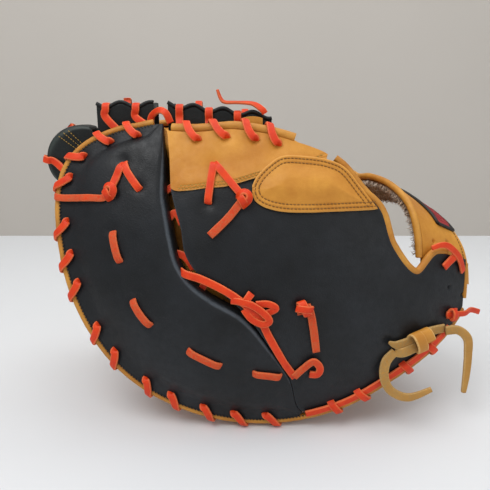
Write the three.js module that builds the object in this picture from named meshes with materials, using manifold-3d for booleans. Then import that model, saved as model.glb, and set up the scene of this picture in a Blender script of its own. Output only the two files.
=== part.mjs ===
// A first baseman's mitt for the left hand. It stands like a tent on the laced edges of its two
// sides, with the finger side in front, the thumb side behind and the web on top.
// Lengths are millimetres. X runs from the finger tips to the wrist, Y from the finger side to the
// thumb side, and Z up. The plane Y = 0 is the fold between the two sides.
import * as THREE from 'three';
import Module from 'manifold-3d';
import { mergeVertices } from 'three/addons/utils/BufferGeometryUtils.js';

const wasm = await Module();
wasm.setup();

// Driving dimensions
const mittLength = 327;
const mittHeight = 235;
const openWidth = 176;
const shellLeather = 3;
const palmPad = 9;
const palmFlange = 4;
const handRoom = 22.5;
const crescentPad = 5;
const crescentCrown = 4;
const slotWidth = 9;
const slotRoll = 13;
const flangeWidth = 12;
const palmSlope = 38;
const weltRadius = 2.8;
const topWeltRadius = 3.6;
const weltProud = 0.2;
const bindingRadius = 2.7;
const fingerPadThick = 3;
const strapLeather = 3;
const fleeceThick = 4;
const patchThick = 1.2;
const webLeather = 3;
const webRise = 14;
const tipReach = 28;
const laceWidth = 6.5;
const laceThick = 2.4;
const laceInset = 8;
const laceSlant = 9;
const thongWidth = 7.5;
const thongThick = 3;
const palmArch = 12;
const clearance = 0.35;
const laceClearance = 0.5;
const padClearance = 0.7;
const restFlat = 0.5;

// Places that the sizes above give: depths are measured inwards from a side's outer face
const palmDepth = 2 * weltRadius - weltProud + clearance;
const rimDepth = palmDepth + palmFlange;
const laceLift = laceClearance + laceThick / 2;
const laceUnder = rimDepth + laceLift;
const fingerSide = 1;
const thumbSide = -1;

// The bowl of each side: where it stands furthest out, and how far its edges wrap round
const crown = { along: 0.031, up: 0.447, wrapAlong: 0.17, wrapUp: 0.148, lean: 0.067 };
const heelTurn = { start: 0.29, run: 0.245, wrap: 0.068 };

// Ribs of the finger side from the tip round to the heel, as shares of the mitt's length and
// height: outer rim, edge of the finger slot, and top and wrist edge
const fingerRibs = [
  { rimX: -0.203, rimZ: 0.994, slotX: -0.189, slotZ: 0.994, edgeX: -0.181, edgeZ: 0.975 },
  { rimX: -0.249, rimZ: 0.981, slotX: -0.187, slotZ: 0.946, edgeX: -0.152, edgeZ: 0.973 },
  { rimX: -0.307, rimZ: 0.964, slotX: -0.183, slotZ: 0.886, edgeX: -0.122, edgeZ: 0.972 },
  { rimX: -0.376, rimZ: 0.920, slotX: -0.181, slotZ: 0.827, edgeX: -0.091, edgeZ: 0.974 },
  { rimX: -0.420, rimZ: 0.851, slotX: -0.179, slotZ: 0.776, edgeX: -0.059, edgeZ: 0.979 },
  { rimX: -0.434, rimZ: 0.757, slotX: -0.170, slotZ: 0.715, edgeX: -0.027, edgeZ: 0.981 },
  { rimX: -0.428, rimZ: 0.641, slotX: -0.161, slotZ: 0.650, edgeX: 0.006, edgeZ: 0.977 },
  { rimX: -0.407, rimZ: 0.502, slotX: -0.147, slotZ: 0.579, edgeX: 0.039, edgeZ: 0.970 },
  { rimX: -0.364, rimZ: 0.360, slotX: -0.118, slotZ: 0.522, edgeX: 0.075, edgeZ: 0.959 },
  { rimX: -0.299, rimZ: 0.230, slotX: -0.071, slotZ: 0.474, edgeX: 0.111, edgeZ: 0.944 },
  { rimX: -0.205, rimZ: 0.125, slotX: 0.000, slotZ: 0.416, edgeX: 0.149, edgeZ: 0.927 },
  { rimX: -0.088, rimZ: 0.058, slotX: 0.052, slotZ: 0.323, edgeX: 0.186, edgeZ: 0.903 },
  { rimX: 0.023, rimZ: 0.035, slotX: 0.102, slotZ: 0.206, edgeX: 0.225, edgeZ: 0.861 },
  { rimX: 0.130, rimZ: 0.045, slotX: 0.137, slotZ: 0.066, edgeX: 0.263, edgeZ: 0.796 },
  { rimX: 0.241, rimZ: 0.092, slotX: 0.241, slotZ: 0.093, edgeX: 0.307, edgeZ: 0.732 },
  { rimX: 0.343, rimZ: 0.173, slotX: 0.343, slotZ: 0.174, edgeX: 0.335, edgeZ: 0.622 },
  { rimX: 0.429, rimZ: 0.242, slotX: 0.429, slotZ: 0.243, edgeX: 0.396, edgeZ: 0.529 },
  { rimX: 0.494, rimZ: 0.309, slotX: 0.494, slotZ: 0.310, edgeX: 0.453, edgeZ: 0.583 },
  { rimX: 0.539, rimZ: 0.381, slotX: 0.539, slotZ: 0.382, edgeX: 0.541, edgeZ: 0.546 },
];
// At the same ribs, the seam of the index panel as a share of the way up, the slot's opening, and
// how full the crescent is
const ribLeathers = [
  { seam: 0, gap: 0.2, full: 0.2 },
  { seam: 0, gap: 0.4, full: 0.4 },
  { seam: 0, gap: 0.55, full: 1 },
  { seam: 0, gap: 0.65, full: 1 },
  { seam: 0.03, gap: 0.72, full: 1 },
  { seam: 0.24, gap: 0.85, full: 1 },
  { seam: 0.42, gap: 1.1, full: 1 },
  { seam: 0.57, gap: 0.9, full: 1 },
  { seam: 0.7, gap: 0.85, full: 1 },
  { seam: 0.8, gap: 0.8, full: 1 },
  { seam: 0.88, gap: 0.2, full: 1 },
  { seam: 0.975, gap: 0, full: 0.8 },
  { seam: 1, gap: 0, full: 0.5 },
  { seam: 1, gap: 0, full: 0.12 },
  { seam: 1, gap: 0, full: 0 },
  { seam: 1, gap: 0, full: 0 },
  { seam: 1, gap: 0, full: 0 },
  { seam: 1, gap: 0, full: 0 },
  { seam: 1, gap: 0, full: 0 },
];
const lastRib = fingerRibs.length - 1;
const crescentEnd = 13;
const shellStart = 4;
const panelEnd = 11;
const webEnd = 9;

// Ribs of the thumb side, one for every second rib of the finger side
const thumbRibs = [
  { rimX: -0.200, rimZ: 0.985, edgeX: -0.174, edgeZ: 0.962 },
  { rimX: -0.300, rimZ: 0.955, edgeX: -0.118, edgeZ: 0.958 },
  { rimX: -0.410, rimZ: 0.840, edgeX: -0.055, edgeZ: 0.960 },
  { rimX: -0.422, rimZ: 0.640, edgeX: 0.008, edgeZ: 0.962 },
  { rimX: -0.365, rimZ: 0.350, edgeX: 0.075, edgeZ: 0.940 },
  { rimX: -0.225, rimZ: 0.094, edgeX: 0.150, edgeZ: 0.893 },
  { rimX: -0.020, rimZ: 0.037, edgeX: 0.222, edgeZ: 0.825 },
  { rimX: 0.200, rimZ: 0.096, edgeX: 0.285, edgeZ: 0.725 },
  { rimX: 0.380, rimZ: 0.215, edgeX: 0.340, edgeZ: 0.575 },
  { rimX: 0.455, rimZ: 0.345, edgeX: 0.420, edgeZ: 0.430 },
];

// The shoulder of the palm's fold, from the web's end to the heel, one row for each rib
const palmShoulder = [
  { x: 0.111, z: 0.850 },
  { x: 0.150, z: 0.815 },
  { x: 0.187, z: 0.775 },
  { x: 0.224, z: 0.730 },
  { x: 0.262, z: 0.680 },
  { x: 0.305, z: 0.615 },
  { x: 0.352, z: 0.540 },
  { x: 0.405, z: 0.470 },
  { x: 0.458, z: 0.415 },
  { x: 0.520, z: 0.378 },
];

// The crescent's closed section from the rim to the slot and back inside: the share of the rim
// flange, the share of the way from there to the slot, and shares of the crown, pad and slot roll
const crescentSection = [
  { flange: 0, across: 0, crown: 0, pad: 0, roll: 0 },
  { flange: 1, across: 0, crown: 0, pad: 0, roll: 0 },
  { flange: 1, across: 0.22, crown: 0.8, pad: 0, roll: 0 },
  { flange: 1, across: 0.5, crown: 1, pad: 0, roll: 0 },
  { flange: 1, across: 0.82, crown: 0.9, pad: 0, roll: 0 },
  { flange: 1, across: 0.97, crown: 0.3, pad: 0, roll: 0.08 },
  { flange: 1, across: 1, crown: 0, pad: 0, roll: 1 },
  { flange: 1, across: 0.93, crown: 0, pad: 0, roll: 1 },
  { flange: 1, across: 0.9, crown: 0, pad: 1, roll: 0.1 },
  { flange: 1, across: 0.5, crown: 0.4, pad: 1, roll: 0 },
  { flange: 1, across: 0.15, crown: 0.3, pad: 1, roll: 0 },
  { flange: 1, across: 0, crown: 0, pad: 0, roll: 0 },
  { flange: 0, across: 0, crown: 0, pad: 0, roll: 0 },
];
const sectionInner = 7;

// Where the laces go: loops as ribs of their rail, laces as places on the finger side
const rimLoops = [1.25, 2.35, 3.7, 4.8, 5.85, 6.75, 7.35, 8.3, 8.85, 9.8, 10.35, 10.9, 11.75, 12.35];
const topLoops = [1.9, 3.9, 6, 7.6];
const thumbLoops = [1.8, 3.8, 5.8, 7.8, 9.8, 11.35, 12.1, 14.5];
const heelRun = { from: 13.15, to: 17.1, loops: [13.8, 14.4, 15.5, 16.3] };
const ties = [
  [[5.9, 0.455], [6.28, 0.455], [6.65, 0.46]],
  [[7.8, 0.45], [8.2, 0.445], [8.6, 0.44]],
  [[9.65, 0.46], [10, 0.48], [10.4, 0.5]],
  [[11.15, 0.64], [11.45, 0.75], [11.75, 0.86]],
];
const tipLace = [[4, 0.73], [3.4, 0.56], [3, 0.43], [4.4, 0.43], [4.7, 0.36], [4.8, 0.2], [4.88, 0.07]];
const indexLace = [
  [-0.082, 0.762], [-0.076, 0.82], [-0.069, 0.879], [-0.002, 0.775], [-0.035, 0.72], [-0.077, 0.665],
];
const slotLace = [
  [-0.120, 0.543], [-0.1, 0.541], [-0.057, 0.521], [-0.016, 0.473],
  [0.014, 0.442], [0.051, 0.393], [0.08, 0.303], [0.108, 0.213],
];
const palmLace = [[0.112, 0.448], [0.136, 0.446], [0.146, 0.385], [0.155, 0.305]];
const heelTie = [[0.335, 0.314], [0.36, 0.3], [0.392, 0.318], [0.43, 0.333], [0.462, 0.331]];
const foldLace = [[0.125, 0.238], [0.14, 0.259], [0.155, 0.268], [0.164, 0.25], [0.157, 0.218]];
const heelKnot = [[0.484, 0.375, 0.3], [0.498, 0.371, 0.5], [0.517, 0.366, 0.8], [0.54, 0.361, 1.5]];
const heelTail = [196, -33, 80];
const strapLace = [[0.447, 0.628, 2.2], [0.475, 0.618, 2.6], [0.505, 0.588, 2.4], [0.526, 0.548, 1], [0.533, 0.515, 0.4]];

// Rows over the wrist strap: its edge beside the opening, and its outer edge
const strapRows = [
  { innerX: 0.417, innerY: -0.319, innerZ: 0.488, outerX: 0.560, outerY: -0.180, outerZ: 0.443 },
  { innerX: 0.415, innerY: -0.311, innerZ: 0.553, outerX: 0.556, outerY: -0.168, outerZ: 0.506 },
  { innerX: 0.409, innerY: -0.304, innerZ: 0.629, outerX: 0.541, outerY: -0.168, outerZ: 0.572 },
  { innerX: 0.399, innerY: -0.265, innerZ: 0.709, outerX: 0.524, outerY: -0.122, outerZ: 0.630 },
  { innerX: 0.387, innerY: -0.182, innerZ: 0.757, outerX: 0.500, outerY: -0.045, outerZ: 0.674 },
  { innerX: 0.366, innerY: -0.057, innerZ: 0.789, outerX: 0.469, outerY: 0.057, outerZ: 0.706 },
  { innerX: 0.337, innerY: 0.068, innerZ: 0.799, outerX: 0.432, outerY: 0.170, outerZ: 0.728 },
  { innerX: 0.320, innerY: 0.200, innerZ: 0.780, outerX: 0.394, outerY: 0.280, outerZ: 0.716 },
  { innerX: 0.300, innerY: 0.335, innerZ: 0.785, outerX: 0.357, outerY: 0.388, outerZ: 0.668 },
  { innerX: 0.276, innerY: 0.372, innerZ: 0.755, outerX: 0.322, outerY: 0.430, outerZ: 0.602 },
];
// The two free ends of the heel's thong
const cordEnds = {
  heel_tie_end_a: [
    [114, -79, 66], [107, -82, 59], [106, -84, 47], [112, -85, 36], [125, -87, 32], [141, -89, 40],
  ],
  heel_tie_end_b: [
    [157, -64.7, 77], [167, -63.6, 77], [175, -64, 70], [177, -64, 56], [177, -65, 40], [176, -66, 24],
  ],
};

// The web: its bars over the fold, its laces down to the rails, and the hood over the tips
const webSag = 9;
const webShoulder = 2;
const webTabThick = 2;
const webBars = {
  web_bar_left: {
    from: -0.361, to: -0.222, half: 13, skirt: 9, drop: 0, wave: 2, waves: 1.89, phase: 0.198, steps: 8,
  },
  web_bar_right: {
    from: -0.184, to: 0.064, half: 22, skirt: 8, drop: 9, wave: 2, waves: 3.52, phase: 0.109, steps: 12,
  },
};
const webTab = { x: [-0.006, 0.018, 0.042], z: [0.972, 1.017] };
const webLaces = [
  { over: 'web_bar_left', at: -0.338, rail: 'fingerRim', row: 1.85, overRun: true },
  { over: 'web_bar_left', at: -0.265, rail: 'fingerRim', row: 0.5, overRun: false },
  { over: 'web_bar_right', at: -0.156, rail: 'fingerEdge', row: 0.8, overRun: false },
  { over: 'web_bar_right', at: -0.086, rail: 'fingerEdge', row: 2.9, overRun: true },
  { over: 'web_bar_right', at: -0.018, rail: 'fingerEdge', row: 5.05, overRun: true },
  { over: 'web_tip', at: 4.1, rail: 'fingerRim', row: 4.25, overRun: true },
  { over: 'web_bar_left', at: -0.3, rail: 'thumbRim', row: 0.8, overRun: false },
  { over: 'web_bar_right', at: -0.12, rail: 'thumbEdge', row: 2, overRun: false },
  { over: 'web_bar_right', at: 0, rail: 'thumbEdge', row: 5.6, overRun: false },
  { over: 'web_tip', at: 3.3, rail: 'thumbRim', row: 2.8, overRun: true },
];
const webArch = [
  [-76, -14.8, 234], [-73.5, -15.5, 239.5], [-67, -21, 243.5], [-61.5, -24.3, 241.5], [-58, -24.4, 236],
];
const topLaceEnd = [
  [15.5, -24.4, 242.15], [11, -24.4, 244.5], [6, -21, 248.5],
  [-6, -20, 249.4], [-17, -19.5, 251], [-21, -18.5, 258],
];
const topLaceFaces = [[0, -1, 0], [0, -1, 0.3], [0, -0.5, 1], [0, -0.2, 1], [0.2, -0.2, 1], [1, 0, 0.4]];
const heelRadius = 2;
const heelEdge = [[0.5466, 0.41], [0.5464, 0.44], [0.5462, 0.48], [0.546, 0.53]];
const tipHood = { from: 2.8, to: 4.7, half: 12, tuck: 4 };

// The rows between which the welts and the wrist's rolled edges run
const weltStart = 0.3;
const topWeltStart = 0.4;
const rolledEdges = {
  back_binding: { rail: 'fingerEdge', from: 11.4, to: 17.3, steps: 20 },
  roof_binding: { rail: 'thumbEdge', from: 9.3, to: 13.3, steps: 8 },
  thumb_binding: { rail: 'thumbEdge', from: 16.3, to: 17.8, steps: 4 },
};

// Colours of the leathers and laces
const black = { color: '#23262a', roughness: 0.5 };
const tan = { color: '#c98f45', roughness: 0.55 };
const orange = { color: '#e2501f', roughness: 0.6 };
const rawTan = { color: '#b59a68', roughness: 0.9 };
const fleece = { color: '#a08e7c', roughness: 1 };
const red = { color: '#a3242c', roughness: 0.7 };

const group = new THREE.Group();
const pieces = new Map();

function put(name, geometry, look) {
  const material = new THREE.MeshStandardMaterial({ ...look, metalness: 0 });
  pieces.set(name, new THREE.Mesh(geometry, material));
}

// One column of a table read at a fractional row, along a smooth curve through the rows
function read(table, column, row) {
  const last = table.length - 1;
  const at = THREE.MathUtils.clamp(row, 0, last);
  const i = Math.min(Math.floor(at), last - 1);
  const t = at - i;
  const [a, b, c, d] = [-1, 0, 1, 2].map((k) => table[THREE.MathUtils.clamp(i + k, 0, last)][column]);
  return b + 0.5 * t * (c - a + t * (2 * a - 5 * b + 4 * c - d + t * (3 * (b - c) + d - a)));
}

const smooth = (value) => THREE.MathUtils.smoothstep(value, 0, 1);
const mix = THREE.MathUtils.lerp;

// Rows of the pieces that share a rim
const rimRows = [...span(0, webEnd, 14), ...span(webEnd, crescentEnd, 6).slice(1), 14, 15, 16, 17, 18];

// The outer face of the finger side: a bowl whose edges wrap towards the fold
function faceY(x, z) {
  const along = 2 * (x / mittLength - crown.along);
  const up = 2 * (z / mittHeight - crown.up);
  const heel = Math.max(0, x / mittLength - heelTurn.start) / heelTurn.run;
  const wrap = crown.wrapAlong * along ** 2 + crown.wrapUp * up ** 2 + crown.lean * up;
  return openWidth * (wrap + heelTurn.wrap * heel ** 2 - 0.5);
}

function faceNormal(side, x, z) {
  const step = 0.5;
  const slopeX = (faceY(x + step, z) - faceY(x - step, z)) / (2 * step);
  const slopeZ = (faceY(x, z + step) - faceY(x, z - step)) / (2 * step);
  return new THREE.Vector3(slopeX, -side, slopeZ).normalize();
}

// The point at a depth behind one side's outer face
function onSide(side, x, z, depth) {
  return new THREE.Vector3(x, side * faceY(x, z), z).addScaledVector(faceNormal(side, x, z), -depth);
}

const planPoint = (table, kind, row) => ({
  x: mittLength * read(table, `${kind}X`, row),
  z: mittHeight * read(table, `${kind}Z`, row),
});

// A rail is an edge of a side that a welt, a binding or a lace follows
const rails = {
  fingerRim: { side: fingerSide, turn: 1, welt: weltRadius, at: (row) => planPoint(fingerRibs, 'rim', row) },
  fingerEdge: {
    side: fingerSide, turn: -1, welt: topWeltRadius, at: (row) => planPoint(fingerRibs, 'edge', row),
  },
  thumbRim: { side: thumbSide, turn: 1, welt: weltRadius, at: (row) => planPoint(thumbRibs, 'rim', row / 2) },
  thumbEdge: {
    side: thumbSide, turn: -1, welt: weltRadius, at: (row) => planPoint(thumbRibs, 'edge', row / 2),
  },
};

function railFrame(rail, row) {
  const step = 0.05;
  const place = (r) => {
    const { x, z } = rail.at(r);
    return onSide(rail.side, x, z, 0);
  };
  const { x, z } = rail.at(row);
  const face = faceNormal(rail.side, x, z);
  const along = place(row + step).sub(place(row - step)).normalize();
  const out = along.clone().cross(face).multiplyScalar(rail.turn * rail.side).normalize();
  return { at: place(row), along, face, out };
}

// The point beside a rail: outboard of the edge, at a depth, and a little way along
function byRail(rail, row, outboard, depth, shift = 0) {
  const { at, along, face, out } = railFrame(rail, row);
  return at.addScaledVector(out, outboard).addScaledVector(face, -depth).addScaledVector(along, shift);
}

// A closed mesh from points and faces, turned so that its faces point out
function closedMesh(points, faces) {
  const corner = (k) => points[k];
  let volume = 0;
  for (const [a, b, c] of faces) {
    volume += corner(a).dot(new THREE.Vector3().crossVectors(corner(b), corner(c)));
  }
  const turned = volume < 0 ? faces.map(([a, b, c]) => [a, c, b]) : faces;
  const geometry = new THREE.BufferGeometry();
  geometry.setAttribute('position', new THREE.Float32BufferAttribute(points.flatMap((p) => p.toArray()), 3));
  geometry.setIndex(turned.flat());
  return geometry;
}

// A wall between two surfaces over a grid of rows and columns; cells that are not kept stay open
function wall(rows, columns, front, back, keep = () => true) {
  const points = [];
  for (const surface of [front, back]) {
    for (const row of rows) {
      for (const column of columns) points.push(surface(row, column));
    }
  }
  const across = columns.length;
  const under = rows.length * across;
  const kept = (i, j) => i >= 0 && j >= 0 && i < rows.length - 1 && j < across - 1 && keep(i, j);
  const faces = [];
  const quad = (a, b, c, d) => faces.push([a, b, c], [a, c, d]);
  for (let i = 0; i < rows.length - 1; i += 1) {
    for (let j = 0; j < across - 1; j += 1) {
      if (!kept(i, j)) continue;
      const [a, b] = [i * across + j, (i + 1) * across + j];
      const [c, d] = [b + 1, a + 1];
      quad(a, b, c, d);
      quad(under + d, under + c, under + b, under + a);
      if (!kept(i, j - 1)) quad(b, a, under + a, under + b);
      if (!kept(i + 1, j)) quad(c, b, under + b, under + c);
      if (!kept(i, j + 1)) quad(d, c, under + c, under + d);
      if (!kept(i - 1, j)) quad(a, d, under + d, under + a);
    }
  }
  return closedMesh(points, faces);
}

// A body through closed rings of points, with flat ends
function loft(rings) {
  const count = rings[0].length;
  const faces = [];
  for (let i = 0; i < rings.length - 1; i += 1) {
    for (let j = 0; j < count; j += 1) {
      const [a, b] = [i * count + j, i * count + ((j + 1) % count)];
      faces.push([a, b, b + count], [a, b + count, a + count]);
    }
  }
  const end = (rings.length - 1) * count;
  for (let j = 1; j < count - 1; j += 1) {
    faces.push([0, j + 1, j], [end, end + j, end + j + 1]);
  }
  return closedMesh(rings.flat(), faces);
}

// A flat lace through stations, each with its place and the direction of its width
function ribbon(stations, width = laceWidth, thick = laceThick) {
  const steps = stations.length - 1;
  const path = new THREE.CatmullRomCurve3(stations.map((s) => s.at), false, 'catmullrom', 0.5);
  return loft(stations.map(({ at, across }, i) => {
    const along = path.getTangent(i / steps);
    const face = across.clone().cross(along).normalize().multiplyScalar(thick / 2);
    const wide = across.clone().normalize().multiplyScalar(width / 2);
    return [[1, 1], [-1, 1], [-1, -1], [1, -1]].map(([w, t]) => at.clone()
      .addScaledVector(wide, w).addScaledVector(face, t));
  }));
}

// A lace laid along points, its flat side to the given face
function laidLace(points, faces, width = laceWidth, thick = laceThick) {
  const path = new THREE.CatmullRomCurve3(points, false, 'catmullrom', 0.5);
  return ribbon(points.map((at, i) => ({
    at,
    across: path.getTangent(i / (points.length - 1)).cross(faces[i] ?? faces[0]),
  })), width, thick);
}

// A knot: a short thick ring of lace round the lace that it holds
function knot(at, axis, size) {
  const ring = new THREE.TorusGeometry(0.55 * size, 0.38 * size, 4, 7);
  const up = new THREE.Vector3(0, 0, 1);
  ring.applyQuaternion(new THREE.Quaternion().setFromUnitVectors(up, axis.clone().normalize()));
  return ring.translate(at.x, at.y, at.z);
}

// A round roll of leather along a line of points
function roll(points, radius, sides = 5) {
  const circle = new THREE.Shape();
  for (let k = 0; k < sides; k += 1) {
    const angle = (2 * Math.PI * k) / sides;
    const [x, y] = [radius * Math.cos(angle), radius * Math.sin(angle)];
    if (k === 0) circle.moveTo(x, y);
    else circle.lineTo(x, y);
  }
  circle.closePath();
  const extrudePath = new THREE.CatmullRomCurve3(points);
  return new THREE.ExtrudeGeometry(circle, { steps: points.length - 1, bevelEnabled: false, extrudePath });
}

function solid(geometry) {
  const bare = geometry.clone();
  bare.deleteAttribute('normal');
  bare.deleteAttribute('uv');
  const merged = mergeVertices(bare, 1e-4);
  return new wasm.Manifold(new wasm.Mesh({
    numProp: 3,
    vertProperties: new Float32Array(merged.attributes.position.array),
    triVerts: new Uint32Array(merged.index.array),
  }));
}

function geometryOf(body) {
  const mesh = body.getMesh();
  const geometry = new THREE.BufferGeometry();
  geometry.setAttribute('position', new THREE.BufferAttribute(mesh.vertProperties, 3));
  geometry.setIndex(new THREE.BufferAttribute(mesh.triVerts, 1));
  return geometry;
}

const cut = (geometry, tools) => geometryOf(
  tools.reduce((body, tool) => body.subtract(solid(tool)), solid(geometry)),
);
const join = (...parts) => geometryOf(parts.map(solid).reduce((body, part) => body.add(part)));

// The numbers from one row to another in even steps
function span(from, to, count) {
  return Array.from({ length: count + 1 }, (_, k) => mix(from, to, k / count));
}

// The crescent: the padded cover over the fingers, rolled inwards along the finger slot
function crescentPlan(row, flange, across) {
  const rim = planPoint(fingerRibs, 'rim', row);
  const slot = planPoint(fingerRibs, 'slot', row);
  const length = Math.hypot(slot.x - rim.x, slot.z - rim.z);
  const edge = Math.min(flangeWidth, 0.45 * length) / length;
  const share = flange * mix(edge, 1, across);
  return { x: mix(rim.x, slot.x, share), z: mix(rim.z, slot.z, share) };
}

function crescentPoint(row, entry, inner) {
  const { x, z } = crescentPlan(row, entry.flange, entry.across);
  const full = read(ribLeathers, 'full', row);
  const leather = inner ? shellLeather : 0;
  const swell = crescentCrown * entry.crown - crescentPad * entry.pad - slotRoll * entry.roll;
  const depth = -full * swell;
  const least = inner ? leather : -Infinity;
  return onSide(fingerSide, x, z, Math.max(depth + (entry.roll === 1 ? 0 : leather), least));
}

// The place above the crescent at a share of the way from rim to slot
function onCrescent(row, across, lift) {
  const { x, z } = crescentPlan(row, 1, across);
  const peak = crescentCrown * read(ribLeathers, 'full', row) * Math.min(1, 4 * across, 8 * (1 - across));
  return onSide(fingerSide, x, z, -peak - lift);
}

function addCrescent(holes) {
  const rows = rimRows.filter((row) => row <= crescentEnd);
  const rings = rows.map((row) => crescentSection.map((entry, k) => (
    crescentPoint(row, entry, k >= sectionInner))));
  put('back_rim', cut(loft(rings), holes), black);
}

// The shell over the back of the hand, from the slot or the rim up to the top and wrist edge
function shellPoint(row, share, depth) {
  const slot = planPoint(fingerRibs, 'slot', row);
  const edge = planPoint(fingerRibs, 'edge', row);
  const length = Math.hypot(edge.x - slot.x, edge.z - slot.z);
  const open = row < crescentEnd ? clearance + slotWidth * Math.max(0, read(ribLeathers, 'gap', row)) : 0;
  const along = mix(open / length, 1, share);
  return onSide(fingerSide, mix(slot.x, edge.x, along), mix(slot.z, edge.z, along), depth);
}

function seamAt(row, shift) {
  const slot = planPoint(fingerRibs, 'slot', row);
  const edge = planPoint(fingerRibs, 'edge', row);
  const length = Math.hypot(edge.x - slot.x, edge.z - slot.z);
  return THREE.MathUtils.clamp(read(ribLeathers, 'seam', row) + shift / length, 0, 1);
}

function addShell() {
  const shared = (from, to) => [from, ...rimRows.filter((row) => row > from && row <= to)];
  const backRows = [...shared(shellStart, crescentEnd), ...span(13.4, lastRib, 14)];
  const back = (depth) => (row, v) => shellPoint(row, v * seamAt(row, -clearance / 2), depth);
  put('hand_back', wall(backRows, span(0, 1, 4), back(0), back(shellLeather)), black);
  const panelRows = [...rimRows.filter((row) => row < shellStart), ...shared(shellStart, panelEnd)];
  const panel = (depth) => (row, v) => shellPoint(row, mix(seamAt(row, clearance / 2), 1, v), depth);
  return wall(panelRows, span(0, 1, 3), panel(0), panel(shellLeather));
}

// The index finger's rest: a crowned pad sewn over the panel and the shell beside the wrist edge
const fingerPadRibs = [
  { lowX: 0.016, lowZ: 0.788, topX: 0.016, topZ: 0.812 },
  { lowX: 0.024, lowZ: 0.766, topX: 0.027, topZ: 0.840 },
  { lowX: 0.046, lowZ: 0.748, topX: 0.051, topZ: 0.872 },
  { lowX: 0.084, lowZ: 0.736, topX: 0.084, topZ: 0.898 },
  { lowX: 0.135, lowZ: 0.733, topX: 0.135, topZ: 0.895 },
  { lowX: 0.189, lowZ: 0.734, topX: 0.178, topZ: 0.880 },
  { lowX: 0.238, lowZ: 0.735, topX: 0.218, topZ: 0.857 },
  { lowX: 0.282, lowZ: 0.736, topX: 0.257, topZ: 0.791 },
  { lowX: 0.297, lowZ: 0.738, topX: 0.286, topZ: 0.750 },
];

function addFingerPad() {
  const surface = (lift, swell) => (row, v) => {
    const low = planPoint(fingerPadRibs, 'low', row);
    const top = planPoint(fingerPadRibs, 'top', row);
    return onSide(fingerSide, mix(low.x, top.x, v), mix(low.z, top.z, v), -lift - swell * 4 * v * (1 - v));
  };
  const rows = span(0, fingerPadRibs.length - 1, 12);
  const lift = padClearance + fingerPadThick;
  put('finger_pad', wall(rows, span(0, 1, 4), surface(lift, 1), surface(padClearance, 0)), tan);
}

// The palm: one padded sheet from the finger side's rim over the fold to the thumb side's rim
const palmArchColumns = [4.33, 4.67];
const palmColumns = [0, 1, 2, 3, 4, ...palmArchColumns, 5, 6, 7, 8, 9];

function palmEnd(side, row) {
  if (row < webEnd) return side === fingerSide ? rails.fingerEdge.at(row) : rails.thumbEdge.at(row);
  const shoulder = {
    x: mittLength * read(palmShoulder, 'x', row - webEnd),
    z: mittHeight * read(palmShoulder, 'z', row - webEnd),
  };
  if (side === fingerSide) return shoulder;
  const rim = rails.thumbRim.at(row);
  const lean = smooth((row - webEnd) / (lastRib - webEnd));
  return { x: mix(shoulder.x, rim.x, lean), z: mix(shoulder.z, rim.z + 1, lean ** 2) };
}

// One of a palm rib's five places on a side: rim, flange, full depth, upper flange and end. The rib
// is an arc that bends through the line of the finger slot
function palmSidePoint(side, row, column, under) {
  const rim = (side === fingerSide ? rails.fingerRim : rails.thumbRim).at(row);
  const end = palmEnd(side, row);
  const slot = planPoint(fingerRibs, 'slot', row);
  const straight = smooth((row - webEnd) / 4);
  const middle = (axis) => (rim[axis] + end[axis]) / 2;
  const bend = (axis) => 2 * mix(slot[axis], middle(axis), straight) - middle(axis);
  const control = { x: bend('x'), z: bend('z') };
  const lowRun = 2 * Math.hypot(control.x - rim.x, control.z - rim.z);
  const topRun = 2 * Math.hypot(end.x - control.x, end.z - control.z);
  const low = Math.min(flangeWidth / lowRun, 0.3);
  const deep = Math.min(palmSlope / lowRun, 0.5);
  const high = row < webEnd ? Math.max(1 - flangeWidth / topRun, 0.7) : mix(deep, 1, 0.6);
  const t = [0, low, deep, high, 1][column];
  const place = (axis) => (1 - t) ** 2 * rim[axis] + 2 * t * (1 - t) * control[axis] + t ** 2 * end[axis];
  const [x, z] = [place('x'), place('z')];
  const fromEdge = row < webEnd ? Math.hypot(x - end.x, z - end.z) : Infinity;
  const nearest = Math.min(Math.hypot(x - rim.x, z - rim.z), fromEdge);
  const flat = column === 1 || (column === 3 && row < webEnd);
  const sunk = flat ? 0 : smooth((nearest - flangeWidth) / (palmSlope - flangeWidth));
  const depth = palmDepth + handRoom * sunk + (under ? mix(palmFlange, palmPad, sunk) : 0);
  return onSide(side, x, z, depth);
}

function palmPoint(row, column, under) {
  if (column <= 4) return palmSidePoint(fingerSide, row, column, under);
  if (column >= 5) return palmSidePoint(thumbSide, row, 9 - column, under);
  const from = palmSidePoint(fingerSide, row, 4, under);
  const to = palmSidePoint(thumbSide, row, 4, under);
  const t = column - 4;
  const rise = palmArch * smooth((lastRib + 1 - row) / 4);
  return from.lerp(to, t).add(new THREE.Vector3(0, 0, rise * 4 * t * (1 - t)));
}

function addPalm(holes) {
  const archOpen = (i, j) => rimRows[i] < webEnd && palmColumns[j] >= 4 && palmColumns[j] < 5;
  const surface = (under) => (row, column) => palmPoint(row, column, under);
  const sheet = wall(rimRows, palmColumns, surface(false), surface(true), (i, j) => !archOpen(i, j));
  put('palm', cut(sheet, holes), tan);
}

// The thumb side's shell, which also closes the roof behind the web up to the finger side
function addThumbBack() {
  const point = (row, share, depth) => {
    const rim = rails.thumbRim.at(row);
    const edge = rails.thumbEdge.at(row);
    return onSide(thumbSide, mix(rim.x, edge.x, share), mix(rim.z, edge.z, share), depth);
  };
  return wall(rimRows, span(0, 1, 3), (r, v) => point(r, v, 0), (r, v) => point(r, v, shellLeather));
}

function railRoll(rail, from, to, steps, outboard, depth, radius) {
  return roll(span(from, to, steps).map((row) => byRail(rail, row, outboard, depth)), radius);
}

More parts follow.
